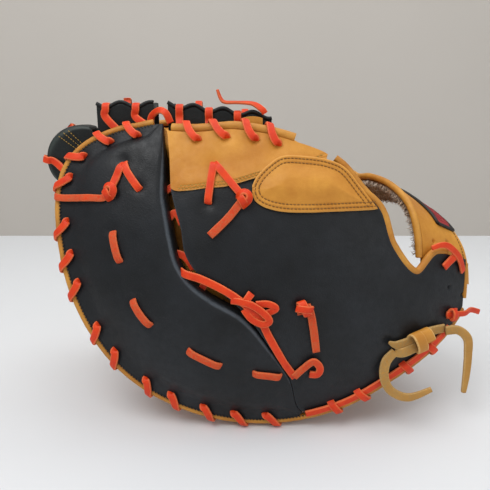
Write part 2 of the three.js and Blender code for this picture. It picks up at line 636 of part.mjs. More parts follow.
// A welt lies beside a shell's edge, a little proud of its face; a lace over it clears both
const welt = (rail, from, to, steps) => (
  railRoll(rail, from, to, steps, rail.welt + clearance, rail.welt - weltProud, rail.welt));
const overWelt = (rail) => 2 * rail.welt + clearance + laceLift;
const binding = (rail, from, to, steps) => (
  railRoll(rail, from, to, steps, bindingRadius + clearance, shellLeather / 2, bindingRadius));

// Whipped lacing: down through a hole, along the back, over the edge and down the next hole
function whipLace(rail, loops) {
  const stations = [];
  const rimLift = overWelt(rail);
  loops.forEach((row, k) => {
    const { along } = railFrame(rail, row);
    const stop = (outboard, depth, shift) => stations.push({
      at: byRail(rail, row, outboard, depth, shift), across: along,
    });
    for (const share of k > 0 ? [0.35, 0.75] : []) {
      const between = mix(loops[k - 1], row, share);
      const { out } = railFrame(rail, between);
      const outboard = -laceInset * (1 - share / 2);
      stations.push({ at: byRail(rail, between, outboard, laceUnder + clearance), across: out.negate() });
    }
    stop(-0.3 * laceInset, laceUnder, laceSlant / 2);
    stop(rimLift, laceUnder, laceSlant / 2);
    stop(rimLift, -laceLift, laceSlant / 2);
    stop(-laceInset, -laceLift, -laceSlant / 2);
    stop(-laceInset, laceUnder, -laceSlant / 2);
  });
  return ribbon(stations);
}

function laceHole(rail, row) {
  const { along, out } = railFrame(rail, row);
  const box = new THREE.BoxGeometry(laceWidth + 3 * clearance, laceThick + 3 * clearance, 5 * rimDepth);
  box.applyMatrix4(new THREE.Matrix4().makeBasis(along, out, along.clone().cross(out)));
  const at = byRail(rail, row, -laceInset, rimDepth / 2, -laceSlant / 2);
  box.translate(at.x, at.y, at.z);
  return box;
}

// The heel's lacing: a lace along the rim, crossed by short loops over the edge
function heelLace() {
  const rail = rails.fingerRim;
  const run = ribbon(span(heelRun.from, heelRun.to, 16).map((row) => ({
    at: byRail(rail, row, -laceWidth / 2, -laceLift), across: railFrame(rail, row).out,
  })));
  const over = -laceLift - 0.8 * laceThick;
  const rimLift = overWelt(rail);
  const loops = heelRun.loops.map((row) => {
    const { along } = railFrame(rail, row);
    const stops = [[-1.2 * laceWidth, -laceLift], [-laceWidth, over], [0, over], [rimLift, -laceLift],
      [rimLift, laceUnder], [-0.5 * laceWidth, laceUnder + 0.5]];
    return ribbon(stops.map(([out, depth], k) => ({
      at: byRail(rail, row, out, depth, laceSlant * (0.5 - k / (stops.length - 1))), across: along,
    })));
  });
  return join(run, ...loops);
}

// The web: two scalloped bars that span the sides, and a hood over the finger tips
function barCrest(bar, x) {
  const s = (x / mittLength - bar.from) / (bar.to - bar.from);
  return mittHeight + webRise - bar.drop * s + bar.wave * Math.cos(2 * Math.PI * (bar.waves * s + bar.phase));
}

function webBar(bar) {
  const across = [-1, -0.86, -0.6, 0, 0.6, 0.86, 1];
  const surface = (inset) => (s, r) => {
    const x = mittLength * mix(bar.from, bar.to, s);
    const half = bar.half - inset;
    const edge = Math.abs(r);
    const top = barCrest(bar, x) - inset - (edge > 0.8 ? webShoulder : webSag * (1 - edge));
    const height = edge > 0.95 ? mittHeight - bar.skirt : top;
    return new THREE.Vector3(x, half * Math.sign(r) * Math.min(1, edge / 0.86), height);
  };
  return wall(span(0, 1, bar.steps), across, surface(0), surface(webLeather));
}

function hoodFrame(row) {
  const t = (row - tipHood.from) / (tipHood.to - tipHood.from);
  const { x, z } = rails.fingerRim.at(row);
  const { out } = railFrame(rails.fingerRim, row);
  const reach = tipReach * Math.sin(Math.PI * mix(0.12, 0.9, t)) ** 0.7;
  return { at: new THREE.Vector3(x, 0, z), up: new THREE.Vector3(out.x, 0, out.z).normalize(), reach };
}

function webTip() {
  const across = [-1, -0.9, -0.5, 0, 0.5, 0.9, 1];
  const surface = (inset) => (row, r) => {
    const { at, up, reach } = hoodFrame(row);
    const edge = Math.abs(r);
    const height = edge > 0.95 ? -tipHood.tuck : reach - inset - (edge > 0.8 ? webShoulder : 0);
    at.y = (tipHood.half - inset) * Math.sign(r) * Math.min(1, edge / 0.9);
    return at.addScaledVector(up, height);
  };
  return wall(span(tipHood.from, tipHood.to, 8), across, surface(0), surface(webLeather));
}

// The shoulder of a bar or of the hood where a lace goes over it
function webShoulderAt({ over, at }) {
  if (over === 'web_tip') {
    const { at: base, up, reach } = hoodFrame(at);
    return { at: base.addScaledVector(up, reach - webShoulder), up, half: tipHood.half, top: 3.1 };
  }
  const x = mittLength * at;
  const bar = webBars[over];
  const up = new THREE.Vector3(0, 0, 1);
  return { at: new THREE.Vector3(x, 0, barCrest(bar, x) - webShoulder), up, half: bar.half, top: 1.8 };
}

// A web lace: from inside the palm's edge up the wall of a bar or of the hood and over its top
function webLace(lace) {
  const rail = rails[lace.rail];
  const shoulder = webShoulderAt(lace);
  const lateral = new THREE.Vector3(0, 1, 0).cross(shoulder.up);
  const { along } = railFrame(rail, lace.row);
  if (along.dot(lateral) < 0) along.negate();
  const depth = laceUnder + (lace.overRun ? laceThick + 3 * clearance : 0);
  const onTop = (up, half) => {
    const at = shoulder.at.clone().addScaledVector(shoulder.up, up);
    return { at: at.setY(-rail.side * half), across: lateral };
  };
  return ribbon([
    { at: byRail(rail, lace.row, -0.7 * laceInset, depth), across: along },
    { at: byRail(rail, lace.row, 0.2 * laceInset, depth), across: along },
    onTop(-0.9 * laceInset, shoulder.half + laceLift),
    onTop(1.7, shoulder.half + laceLift),
    onTop(3.8, shoulder.half - 2.5),
    onTop(shoulder.top, 0.75 * shoulder.half),
  ]);
}

function addWeb() {
  for (const [name, bar] of Object.entries(webBars)) put(name, webBar(bar), black);
  put('web_tip', webTip(), black);
  const tabFace = -webBars.web_bar_right.half - clearance;
  const tab = (y) => (x, z) => new THREE.Vector3(mittLength * x, y, mittHeight * z);
  put('web_tab', wall(webTab.x, webTab.z, tab(tabFace - webTabThick), tab(tabFace)), tan);
  webLaces.forEach((lace, k) => put(`web_lace_${k + 1}`, webLace(lace), orange));
  const points = (places) => places.map(([x, y, z]) => new THREE.Vector3(x, y, z));
  put('web_arch', laidLace(points(webArch), [new THREE.Vector3(0, -1, 0)]), orange);
  put('top_lace_end', laidLace(points(topLaceEnd), points(topLaceFaces)), orange);
}

// The wrist strap, its rolled edge, fleece and badge, over rows from the heel to the thumb side
function strapPoint(row, share, lift) {
  const corner = (edge, r) => new THREE.Vector3(
    mittLength * read(strapRows, `${edge}X`, r),
    openWidth * read(strapRows, `${edge}Y`, r),
    mittHeight * read(strapRows, `${edge}Z`, r),
  );
  const place = (s, r) => corner('inner', r).lerp(corner('outer', r), s);
  const step = 0.05;
  const along = place(share, row + step).sub(place(share, row - step));
  const across = place(share + step, row).sub(place(share - step, row));
  return place(share, row).addScaledVector(across.cross(along).normalize(), lift);
}

function addStrap() {
  const last = strapRows.length - 1;
  const sheet = (rows, shares, low, high) => wall(
    rows, shares, (r, s) => strapPoint(r, s, high), (r, s) => strapPoint(r, s, low),
  );
  put('wrist_strap', sheet(span(0, last, 14), span(0, 1, 2), 0, strapLeather), tan);
  const edge = bindingRadius + clearance;
  const beside = (row) => strapPoint(row, 0, strapLeather / 2)
    .add(strapPoint(row, 0, 0).sub(strapPoint(row, 0.1, 0)).normalize().multiplyScalar(edge));
  put('strap_binding', roll(span(1.25, last - 1.5, 13).map(beside), bindingRadius), tan);
  const under = -clearance - 0.1;
  put('strap_fleece', sheet(span(2, last - 2, 10), span(0.06, 0.94, 2), under - fleeceThick, under), fleece);
  const badge = strapLeather + clearance;
  put('strap_patch', sheet(span(3, 5.2, 5), [0.55, 0.93], badge, badge + patchThick), red);
}

// Points of a lace over the finger side: rows and shares on the crescent, or shares of the sizes
const overCrescent = (places, lift = laceLift) => places.map(([row, across]) => onCrescent(row, across, lift));
const overShell = (places, lift = laceLift) => places.map(([x, z, more = 0]) => (
  onSide(fingerSide, mittLength * x, mittHeight * z, -lift - more)));
const frontOf = (points) => points.map((p) => faceNormal(fingerSide, p.x, p.z));

function laceWithKnot(points, knotAt) {
  const faces = frontOf(points);
  const axis = points[knotAt + 1].clone().sub(points[knotAt]);
  const lifted = points[knotAt].clone().addScaledVector(faces[knotAt], 0.55 * laceWidth);
  return join(laidLace(points, faces), knot(lifted, axis, laceWidth));
}

function addLaces() {
  ties.forEach((places, k) => {
    const points = overCrescent(places);
    put(`tie_${k + 1}`, laidLace(points, frontOf(points)), orange);
  });
  put('tip_lace', laceWithKnot(overCrescent(tipLace), 3), orange);
  put('index_lace', laceWithKnot(overShell(indexLace, laceLift + 0.6), 3), orange);
  put('slot_lace', laceWithKnot(overShell(slotLace), 4), orange);
  put('palm_lace', laceWithKnot(overShell(palmLace, laceLift + 0.3), 1), orange);
  put('heel_tie', laceWithKnot(overShell(heelTie, laceLift + 1.3), 2), rawTan);
  const strapPoints = overShell(strapLace);
  put('strap_lace', laidLace(strapPoints, frontOf(strapPoints)), orange);
  const foldPoints = overShell(foldLace);
  put('fold_lace', laidLace(foldPoints, frontOf(foldPoints)), orange);
  const tail = new THREE.Vector3(...heelTail);
  put('heel_lace_end', laceWithKnot([...overShell(heelKnot), tail], 1), orange);
}

// A thong's free end: a flat eight-sided section along its few points
function thongEnd(points) {
  const flat = new THREE.Shape();
  for (let k = 0; k < 8; k += 1) {
    const angle = (2 * Math.PI * (k + 0.5)) / 8;
    const [x, y] = [0.54 * thongThick * Math.cos(angle), 0.54 * thongWidth * Math.sin(angle)];
    if (k === 0) flat.moveTo(x, y);
    else flat.lineTo(x, y);
  }
  flat.closePath();
  const extrudePath = new THREE.CatmullRomCurve3(points.map(([x, y, z]) => new THREE.Vector3(x, y, z)));
  return new THREE.ExtrudeGeometry(flat, { steps: 8, bevelEnabled: false, extrudePath });
}

const holesOf = (rail, loops) => loops.map((row) => laceHole(rail, row));
const fingerHoles = holesOf(rails.fingerRim, rimLoops);
const topHoles = holesOf(rails.fingerEdge, topLoops);
const thumbHoles = holesOf(rails.thumbRim, thumbLoops);

addCrescent(fingerHoles);
put('index_panel', cut(addShell(), topHoles), tan);
addFingerPad();
addPalm([...fingerHoles, ...topHoles, ...thumbHoles]);
put('thumb_back', cut(addThumbBack(), thumbHoles), black);
put('rim_welt', welt(rails.fingerRim, weltStart, lastRib, 40), tan);
put('top_welt', welt(rails.fingerEdge, topWeltStart, webEnd, 14), tan);
put('thumb_welt', welt(rails.thumbRim, weltStart, lastRib, 30), tan);
for (const [name, { rail, from, to, steps }] of Object.entries(rolledEdges)) {
  put(name, binding(rails[rail], from, to, steps), tan);
}
const heelPath = heelEdge.map(([x, z]) => onSide(fingerSide, mittLength * x, mittHeight * z, shellLeather / 2));
put('heel_binding', roll(heelPath, heelRadius), tan);
put('rim_lacing', whipLace(rails.fingerRim, rimLoops), orange);
put('top_lacing', whipLace(rails.fingerEdge, topLoops), orange);
put('thumb_lacing', whipLace(rails.thumbRim, thumbLoops), orange);
put('heel_lacing', heelLace(), orange);
addWeb();
addStrap();
addLaces();
for (const [name, places] of Object.entries(cordEnds)) put(name, thongEnd(places), rawTan);

// The laced edges rest on a floor, and the frame is the middle of the bottom of what the cords hang on
const boxOf = (name) => new THREE.Box3().setFromBufferAttribute(pieces.get(name).geometry.attributes.position);
const lowest = (name) => boxOf(name).min.z;
const floor = Math.max(lowest('rim_lacing'), lowest('thumb_lacing')) + restFlat;
const size = 2 * mittLength;
const ground = new THREE.BoxGeometry(size, size, size).translate(0, 0, floor - size / 2);
const held = new THREE.Box3();
for (const [name, mesh] of pieces) {
  mesh.name = name;
  if (lowest(name) < floor) mesh.geometry = cut(mesh.geometry, [ground]);
  if (!cordEnds[name]) held.expandByObject(mesh);
  group.add(mesh);
}
group.position.set(-(held.min.x + held.max.x) / 2, -(held.min.y + held.max.y) / 2, -floor);

export default group;
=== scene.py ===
# First base mitt: leathers, laces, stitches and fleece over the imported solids.
# Shapes are worked out in the part's own millimetres and put into meshes in metres.
import math

import bpy
import numpy as np
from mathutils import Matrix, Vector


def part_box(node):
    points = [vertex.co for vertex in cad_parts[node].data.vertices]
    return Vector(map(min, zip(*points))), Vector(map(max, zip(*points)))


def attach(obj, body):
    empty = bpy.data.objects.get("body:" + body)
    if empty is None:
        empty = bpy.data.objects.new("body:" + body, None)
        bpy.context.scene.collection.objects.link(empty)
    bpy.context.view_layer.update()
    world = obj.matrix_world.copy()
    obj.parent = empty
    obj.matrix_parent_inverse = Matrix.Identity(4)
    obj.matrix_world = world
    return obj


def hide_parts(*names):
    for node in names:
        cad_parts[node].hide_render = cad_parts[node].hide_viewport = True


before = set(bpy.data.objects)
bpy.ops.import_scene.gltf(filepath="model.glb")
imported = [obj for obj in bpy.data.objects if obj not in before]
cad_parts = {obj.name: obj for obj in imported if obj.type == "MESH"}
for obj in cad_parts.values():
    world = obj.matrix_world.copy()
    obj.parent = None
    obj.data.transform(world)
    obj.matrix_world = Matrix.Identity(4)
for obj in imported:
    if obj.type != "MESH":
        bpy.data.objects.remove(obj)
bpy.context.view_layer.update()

mitt = {
    "length": 327.0,
    "height": 235.0,
    "openWidth": 176.0,
    "crownAlong": 0.031,
    "crownUp": 0.447,
    "wrapAlong": 0.17,
    "wrapUp": 0.148,
    "lean": 0.067,
    "heelStart": 0.29,
    "heelRun": 0.245,
    "heelWrap": 0.068,
    "shell": 3.0,
    "clearance": 0.35,
    "palmDepth": 5.75,
    "palmFlange": 4.0,
    "palmPad": 9.0,
    "handRoom": 22.5,
    "flange": 12.0,
    "slope": 38.0,
    "weltRadius": 2.8,
    "topWeltRadius": 3.6,
    "weltProud": 0.2,
    "laceUnder": 11.45,
    "laceInset": 6.0,
    "laceLift": 1.7,
    "bindingRadius": 2.7,
    "tabLow": (-1.962, -24.35, 228.42),   # the web tab's low corner, which places the frame
    "wear": 0.35,
    "wearWidth": 1.6,
}
shift = 1000 * np.array(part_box("web_tab")[0]) - np.array(mitt["tabLow"])


def toFrame(points):
    # millimetres on the mitt to metres in the row's frame
    return (np.asarray(points, float) + shift) / 1000


# Camera, at the photograph's viewing angle
cameraView = {"place": (0.0, -444.0, 248.0), "down": 15.0, "lens": 38.57, "sensor": 36.0, "near": 0.01}
cameraData = bpy.data.cameras.new("camera")
cameraData.lens = cameraView["lens"]
cameraData.sensor_width = cameraView["sensor"]
cameraData.clip_start = cameraView["near"]
cameraObject = bpy.data.objects.new("camera", cameraData)
bpy.context.scene.collection.objects.link(cameraObject)
cameraObject.location = toFrame(cameraView["place"])
cameraObject.rotation_euler = (math.radians(90 - cameraView["down"]), 0, 0)
bpy.context.scene.camera = cameraObject
bpy.context.scene.view_settings.view_transform = "Standard"
print("camera set")


# Colours and finishes
def linear(red, green, blue):
    # screen colour to the shader's linear colour
    values = np.array([red, green, blue]) / 255
    return tuple(np.where(values <= 0.04045, values / 12.92, ((values + 0.055) / 1.055) ** 2.4)) + (1.0,)


finishes = {
    "blackLeather": {
        "light": (27, 30, 34), "dark": (10, 12, 14), "worn": (66, 72, 78), "raw": (60, 58, 54),
        "patch": 22, "grain": 1050, "bump": 0.16, "rough": (0.42, 0.58),
    },
    "tanLeather": {
        "light": (210, 148, 56), "dark": (180, 114, 34), "worn": (226, 174, 92), "raw": (190, 158, 100),
        "patch": 24, "grain": 1150, "bump": 0.13, "rough": (0.48, 0.64),
    },
    "palmLeather": {
        "light": (212, 148, 60), "dark": (176, 110, 38), "worn": (226, 176, 96), "raw": (190, 158, 100),
        "patch": 16, "grain": 900, "bump": 0.2, "rough": (0.5, 0.68),
    },
    "webLeather": {
        "light": (28, 33, 32), "dark": (11, 14, 14), "worn": (76, 86, 80), "raw": (76, 84, 78),
        "patch": 40, "grain": 950, "bump": 0.22, "rough": (0.42, 0.62),
    },
    "orangeLace": {
        "light": (228, 66, 10), "dark": (202, 46, 6), "worn": (224, 112, 62), "raw": (188, 94, 56),
        "patch": 90, "grain": 1500, "bump": 0.14, "rough": (0.46, 0.62),
    },
    "thong": {
        "light": (196, 144, 70), "dark": (166, 116, 50), "worn": (206, 168, 108), "raw": (158, 128, 80),
        "patch": 60, "grain": 1300, "bump": 0.3, "rough": (0.6, 0.85),
    },
    "thongBand": {
        "light": (206, 146, 58), "dark": (180, 118, 38), "worn": (216, 174, 108), "raw": (160, 130, 84),
        "patch": 60, "grain": 1200, "bump": 0.14, "rough": (0.42, 0.58),
    },
    "binding": {
        "light": (204, 146, 60), "dark": (174, 112, 38), "worn": (222, 174, 96), "raw": (184, 142, 84),
        "patch": 50, "grain": 1300, "bump": 0.14, "rough": (0.45, 0.6),
    },
}


grainLook = {
    "mottle": 9,              # times finer than the patches
    "creases": 0.35,          # times the grain's own scale
    "fibre": 620.0,
    "fibreRaise": 3.0,
    "rawRough": 0.3,          # added where the flesh side shows
    "specular": 0.32,
    "bumpHeight": 0.0006,
}
threads = {"yellowThread": (190, 150, 60), "ochreThread": (138, 92, 30), "blackThread": (30, 28, 26),
           "redThread": (178, 40, 44)}
threadLook = {"twist": 1600.0, "dark": 0.75, "bump": 0.4, "bumpHeight": 0.0003, "rough": 0.6}


def newMaterial(name):
    # a material, its tree, its shader, and the place on the piece in metres
    material = bpy.data.materials.new(name)
    material.use_nodes = True
    tree = material.node_tree
    place = addNode(tree, "ShaderNodeTexCoord").outputs["Object"]
    return material, tree, tree.nodes["Principled BSDF"], place


def addNode(tree, kind, inputs=None, **settings):
    # a node with its settings, and with values or links on its inputs
    node = tree.nodes.new(kind)
    for key, value in settings.items():
        setattr(node, key, value)
    for key, value in (inputs or {}).items():
        if isinstance(value, bpy.types.NodeSocket):
            tree.links.new(value, node.inputs[key])
        else:
            node.inputs[key].default_value = value
    return node


def mixColour(tree, factor, first, second):
    # from the first colour to the second as the factor goes from 0 to 1
    return addNode(tree, "ShaderNodeMix", {0: factor, 6: first, 7: second}, data_type="RGBA").outputs[2]


def readAttribute(tree, name):
    # a value that the mesh carries at its points
    return addNode(tree, "ShaderNodeAttribute", attribute_name=name).outputs["Fac"]


def noiseAt(tree, place, scale, detail, rough=0.5):
    # cloudy noise from 0 to 1, with a scale per metre
    inputs = {"Vector": place, "Scale": scale, "Detail": detail, "Roughness": rough}
    return addNode(tree, "ShaderNodeTexNoise", inputs).outputs[0]


def combine(tree, operation, *values):
    # a sum, a product, or a product with a sum
    return addNode(tree, "ShaderNodeMath", dict(enumerate(values)), operation=operation).outputs[0]


def ranged(tree, value, low, high, outLow=0, outHigh=1):
    # a value stretched from one range to another, and held inside it
    inputs = {0: value, 1: low, 2: high, 3: outLow, 4: outHigh}
    return addNode(tree, "ShaderNodeMapRange", inputs).outputs[0]


def raiseGrain(tree, shader, height, strength, distance):
    # a bump as high as the distance where the height is 1
    bump = addNode(tree, "ShaderNodeBump", {"Strength": strength, "Distance": distance, "Height": height})
    tree.links.new(bump.outputs[0], shader.inputs["Normal"])


def leather(name, look):
    # two mottled tones, a worn tone and a raw flesh tone from the mesh, and a pebbled grain; on the
    # crescent's ridge the worn tone is partly a painted highlight
    material, tree, shader, place = newMaterial(name)
    light, dark, worn, fleshTone = (linear(*look[key]) for key in ("light", "dark", "worn", "raw"))
    patches = noiseAt(tree, place, look["patch"], 4.0, 0.6)
    mottle = noiseAt(tree, place, look["patch"] * grainLook["mottle"], 5.0, 0.65)
    fibre = noiseAt(tree, place, grainLook["fibre"], 6.0, 0.75)
    raw = readAttribute(tree, "raw")
    rubbed = combine(tree, "MULTIPLY", readAttribute(tree, "wear"), mottle)
    tone = mixColour(tree, ranged(tree, patches, 0.32, 0.68), dark, light)
    tone = mixColour(tree, ranged(tree, mottle, 0.35, 0.75, 0, 0.35), tone, dark)
    tone = mixColour(tree, ranged(tree, rubbed, 0.05, 0.6), tone, worn)
    fibreTone = mixColour(tree, ranged(tree, fibre, 0.35, 0.65), tone, fleshTone)
    tree.links.new(mixColour(tree, raw, tone, fibreTone), shader.inputs["Base Color"])
    grainRough = ranged(tree, mottle, 0.3, 0.7, *look["rough"])
    rough = combine(tree, "ADD", grainRough, ranged(tree, raw, 0, 1, 0, grainLook["rawRough"]))
    tree.links.new(rough, shader.inputs["Roughness"])
    shader.inputs["Specular IOR Level"].default_value = grainLook["specular"]
    pebbles = {"Vector": place, "Scale": look["grain"]}
    cells = addNode(tree, "ShaderNodeTexVoronoi", pebbles, feature="SMOOTH_F1")
    creases = noiseAt(tree, place, look["grain"] * grainLook["creases"], 3.0)
    grain = combine(tree, "ADD", cells.outputs[0], creases)
    hair = combine(tree, "MULTIPLY", fibre, raw)
    height = combine(tree, "MULTIPLY_ADD", hair, grainLook["fibreRaise"], grain)
    raiseGrain(tree, shader, height, look["bump"], grainLook["bumpHeight"])
    return material


def threadMaterial(name, colour):
    # spun thread: a fine twist in the bump and a faint change of tone
    material, tree, shader, place = newMaterial(name)
    spin = noiseAt(tree, place, threadLook["twist"], 2.0)
    tone = mixColour(tree, spin, linear(*[threadLook["dark"] * c for c in colour]), linear(*colour))
    tree.links.new(tone, shader.inputs["Base Color"])
    raiseGrain(tree, shader, spin, threadLook["bump"], threadLook["bumpHeight"])
    shader.inputs["Roughness"].default_value = threadLook["rough"]
    return material


materials = {name: leather(name, look) for name, look in finishes.items()}
materials.update({name: threadMaterial(name, colour) for name, colour in threads.items()})


# The mitt's faces, rims and edges
def readRow(column, row):
    # a column at fractional rows, along a smooth curve through its values
    values = np.asarray(column, float)
    last = len(values) - 1
    at = np.clip(np.asarray(row, float), 0, last)
    i = np.minimum(np.floor(at).astype(int), last - 1)
    t = at - i
    a, b, c, d = (values[np.clip(i + k, 0, last)] for k in (-1, 0, 1, 2))
    return b + 0.5 * t * (c - a + t * (2 * a - 5 * b + 4 * c - d + t * (3 * (b - c) + d - a)))


def smoothStep(value):
    # three times the square less twice the cube, held between 0 and 1
    value = np.clip(value, 0, 1)
    return value * value * (3 - 2 * value)


def unit(vectors):
    # vectors brought to a length of 1
    return vectors / np.maximum(np.linalg.norm(vectors, axis=-1, keepdims=True), 1e-9)


def faceY(x, z):
    # a bowl: parabolas along and up, a lean, and a turn at the heel
    along = 2 * (x / mitt["length"] - mitt["crownAlong"])
    up = 2 * (z / mitt["height"] - mitt["crownUp"])
    heel = np.maximum(0, x / mitt["length"] - mitt["heelStart"]) / mitt["heelRun"]
    wrap = mitt["wrapAlong"] * along**2 + mitt["wrapUp"] * up**2 + mitt["lean"] * up
    return mitt["openWidth"] * (wrap + mitt["heelWrap"] * heel**2 - 0.5)


def faceNormal(side, x, z):
    # square to the face and out of its side, from the face's rise over a millimetre
    slopeX = faceY(x + 0.5, z) - faceY(x - 0.5, z)
    slopeZ = faceY(x, z + 0.5) - faceY(x, z - 0.5)
    return unit(np.stack([slopeX, -side * np.ones_like(slopeX), slopeZ], -1))


def onSide(side, x, z, depth):
    # the point at a depth behind one side's outer face
    x, z, depth = np.broadcast_arrays(np.asarray(x, float), np.asarray(z, float), np.asarray(depth, float))
    base = np.stack([x, side * faceY(x, z), z], -1)
    return base - faceNormal(side, x, z) * depth[..., None]


fingerRibs = {
    "rimX": [-0.203, -0.249, -0.307, -0.376, -0.42, -0.434, -0.428, -0.407, -0.364, -0.299, -0.205, -0.088,
             0.023, 0.13, 0.241, 0.343, 0.429, 0.494, 0.539],
    "rimZ": [0.994, 0.981, 0.964, 0.92, 0.851, 0.757, 0.641, 0.502, 0.36, 0.23, 0.125, 0.058, 0.035, 0.045,
             0.092, 0.173, 0.242, 0.309, 0.381],
    "slotX": [-0.189, -0.187, -0.183, -0.181, -0.179, -0.17, -0.161, -0.147, -0.118, -0.071, 0, 0.052, 0.102,
              0.137, 0.241, 0.343, 0.429, 0.494, 0.539],
    "slotZ": [0.994, 0.946, 0.886, 0.827, 0.776, 0.715, 0.65, 0.579, 0.522, 0.474, 0.416, 0.323, 0.206, 0.066,
              0.093, 0.174, 0.243, 0.31, 0.382],
    "edgeX": [-0.181, -0.152, -0.122, -0.091, -0.059, -0.027, 0.006, 0.039, 0.075, 0.111, 0.149, 0.186, 0.225,
              0.263, 0.307, 0.335, 0.396, 0.453, 0.541],
    "edgeZ": [0.975, 0.973, 0.972, 0.974, 0.979, 0.981, 0.977, 0.97, 0.959, 0.944, 0.927, 0.903, 0.861, 0.796,
              0.732, 0.622, 0.529, 0.583, 0.546],
    "seam": [0, 0, 0, 0, 0.03, 0.24, 0.42, 0.57, 0.7, 0.8, 0.88, 0.975, 1, 1, 1, 1, 1, 1, 1],
    "gap": [0.2, 0.4, 0.55, 0.65, 0.72, 0.85, 1.1, 0.9, 0.85, 0.8, 0.2, 0, 0, 0, 0, 0, 0, 0, 0],
    "full": [0.2, 0.4, 1, 1, 1, 1, 1, 1, 1, 1, 1, 0.8, 0.5, 0.12, 0, 0, 0, 0, 0],
}
thumbRibs = {
    "rimX": [-0.2, -0.3, -0.41, -0.422, -0.365, -0.225, -0.02, 0.2, 0.38, 0.455],
    "rimZ": [0.985, 0.955, 0.84, 0.64, 0.35, 0.094, 0.037, 0.096, 0.215, 0.345],
    "edgeX": [-0.174, -0.118, -0.055, 0.008, 0.075, 0.15, 0.222, 0.285, 0.34, 0.42],
    "edgeZ": [0.962, 0.958, 0.96, 0.962, 0.94, 0.893, 0.825, 0.725, 0.575, 0.43],
}
webEnd, crescentEnd, shellStart, panelEnd, lastRib = 9, 13, 4, 11, 18


def plan(table, kind, row):
    # a table's places along and up at fractional rows, in millimetres
    return mitt["length"] * readRow(table[kind + "X"], row), mitt["height"] * readRow(table[kind + "Z"], row)


rails = {
    "fingerRim": {"side": 1, "turn": 1, "at": lambda row: plan(fingerRibs, "rim", row)},
    "fingerEdge": {"side": 1, "turn": -1, "at": lambda row: plan(fingerRibs, "edge", row)},
    "thumbRim": {"side": -1, "turn": 1, "at": lambda row: plan(thumbRibs, "rim", np.asarray(row) / 2)},
    "thumbEdge": {"side": -1, "turn": -1, "at": lambda row: plan(thumbRibs, "edge", np.asarray(row) / 2)},
}


def byRail(name, row, outboard, depth, along=0.0):
    # beside a rail: outboard of its edge, at a depth, and a little way along
    at, ahead, face, out = railFrame(name, row)
    outboard, depth, along = (np.asarray(v, float)[..., None] for v in (outboard, depth, along))
    return at + out * outboard - face * depth + ahead * along


def railFrame(name, row):
    # a rail's place, the way ahead, the face's normal and the way out over the edge
    rail = rails[name]
    row = np.asarray(row, float)
    x, z = rail["at"](row)
    face = faceNormal(rail["side"], x, z)
    before, after = (onSide(rail["side"], *rail["at"](row + step), 0) for step in (-0.05, 0.05))
    ahead = unit(after - before)
    out = unit(np.cross(ahead, face) * rail["turn"] * rail["side"])
    return onSide(rail["side"], x, z, 0), ahead, face, out


# Soft unevenness: a smooth random field on a lattice that repeats
softCells, softSeed = 24, 7
lattice = np.random.RandomState(softSeed).rand(softCells, softCells, softCells)


def softField(points, size):
    # values from -1 to 1 that change over about one size, blended between lattice corners
    at = np.asarray(points, float) / size
    cell = np.floor(at).astype(int)
    t = smoothStep(at - cell)
    total = 0.0
    for corner in np.ndindex(2, 2, 2):
        weight = np.where(corner, t, 1 - t).prod(-1)
        i, j, k = np.moveaxis((cell + corner) % softCells, -1, 0)
        total = total + weight * lattice[i, j, k]
    return 2 * total - 1


# Meshes
def meshOf(vertices, quads, ends=(), flesh=None, wear=None):
    # points, faces of four, end faces, and how raw and how worn the leather is at each point
    none = np.zeros(len(vertices))
    return {"vertices": vertices, "quads": quads, "ends": list(ends),
            "raw": none if flesh is None else flesh, "wear": none if wear is None else wear}


def ringQuads(rings, around):
    # faces between rings of points, each ring closed on itself
    index = np.arange(rings * around).reshape(rings, around)
    following = np.roll(index, -1, axis=1)
    return np.stack([index[:-1], following[:-1], following[1:], index[1:]], -1).reshape(-1, 4)


def copiesOf(quads, points, count):
    # the faces of one small shape again for each copy of its points
    return (quads[None] + points * np.arange(count)[:, None, None]).reshape(-1, 4)


def makePiece(name, parts, finish, nodes=(), bevel=0.0):
    # joins the parts into one mesh in metres, and gives it its finish and its body
    vertices, quads, ends, offset = [], [], [], 0
    for part in parts:
        vertices.append(part["vertices"])
        quads.append(part["quads"] + offset)
        ends += [[int(k) + offset for k in loop] for loop in part["ends"]]
        offset += len(part["vertices"])
    vertices = toFrame(np.concatenate(vertices))
    faces = np.concatenate(quads).tolist() + ends
    mesh = bpy.data.meshes.new(name)
    mesh.from_pydata(vertices.tolist(), [], faces)
    for key in ("raw", "wear"):
        layer = mesh.attributes.new(key, "FLOAT", "POINT")
        layer.data.foreach_set("value", np.concatenate([part[key] for part in parts]).astype(np.float32))
    mesh.polygons.foreach_set("use_smooth", np.ones(len(faces), bool))
    mesh.update()
    piece = bpy.data.objects.new(name, mesh)
    bpy.context.scene.collection.objects.link(piece)
    mesh.materials.append(materials[finish])
    if bevel:
        edge = piece.modifiers.new("edge", "BEVEL")
        edge.width = bevel / 1000
        edge.segments = 2
        edge.limit_method = "ANGLE"
        edge.angle_limit = math.radians(50)
    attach(piece, "root")
    if nodes:
        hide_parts(*nodes)
    return piece


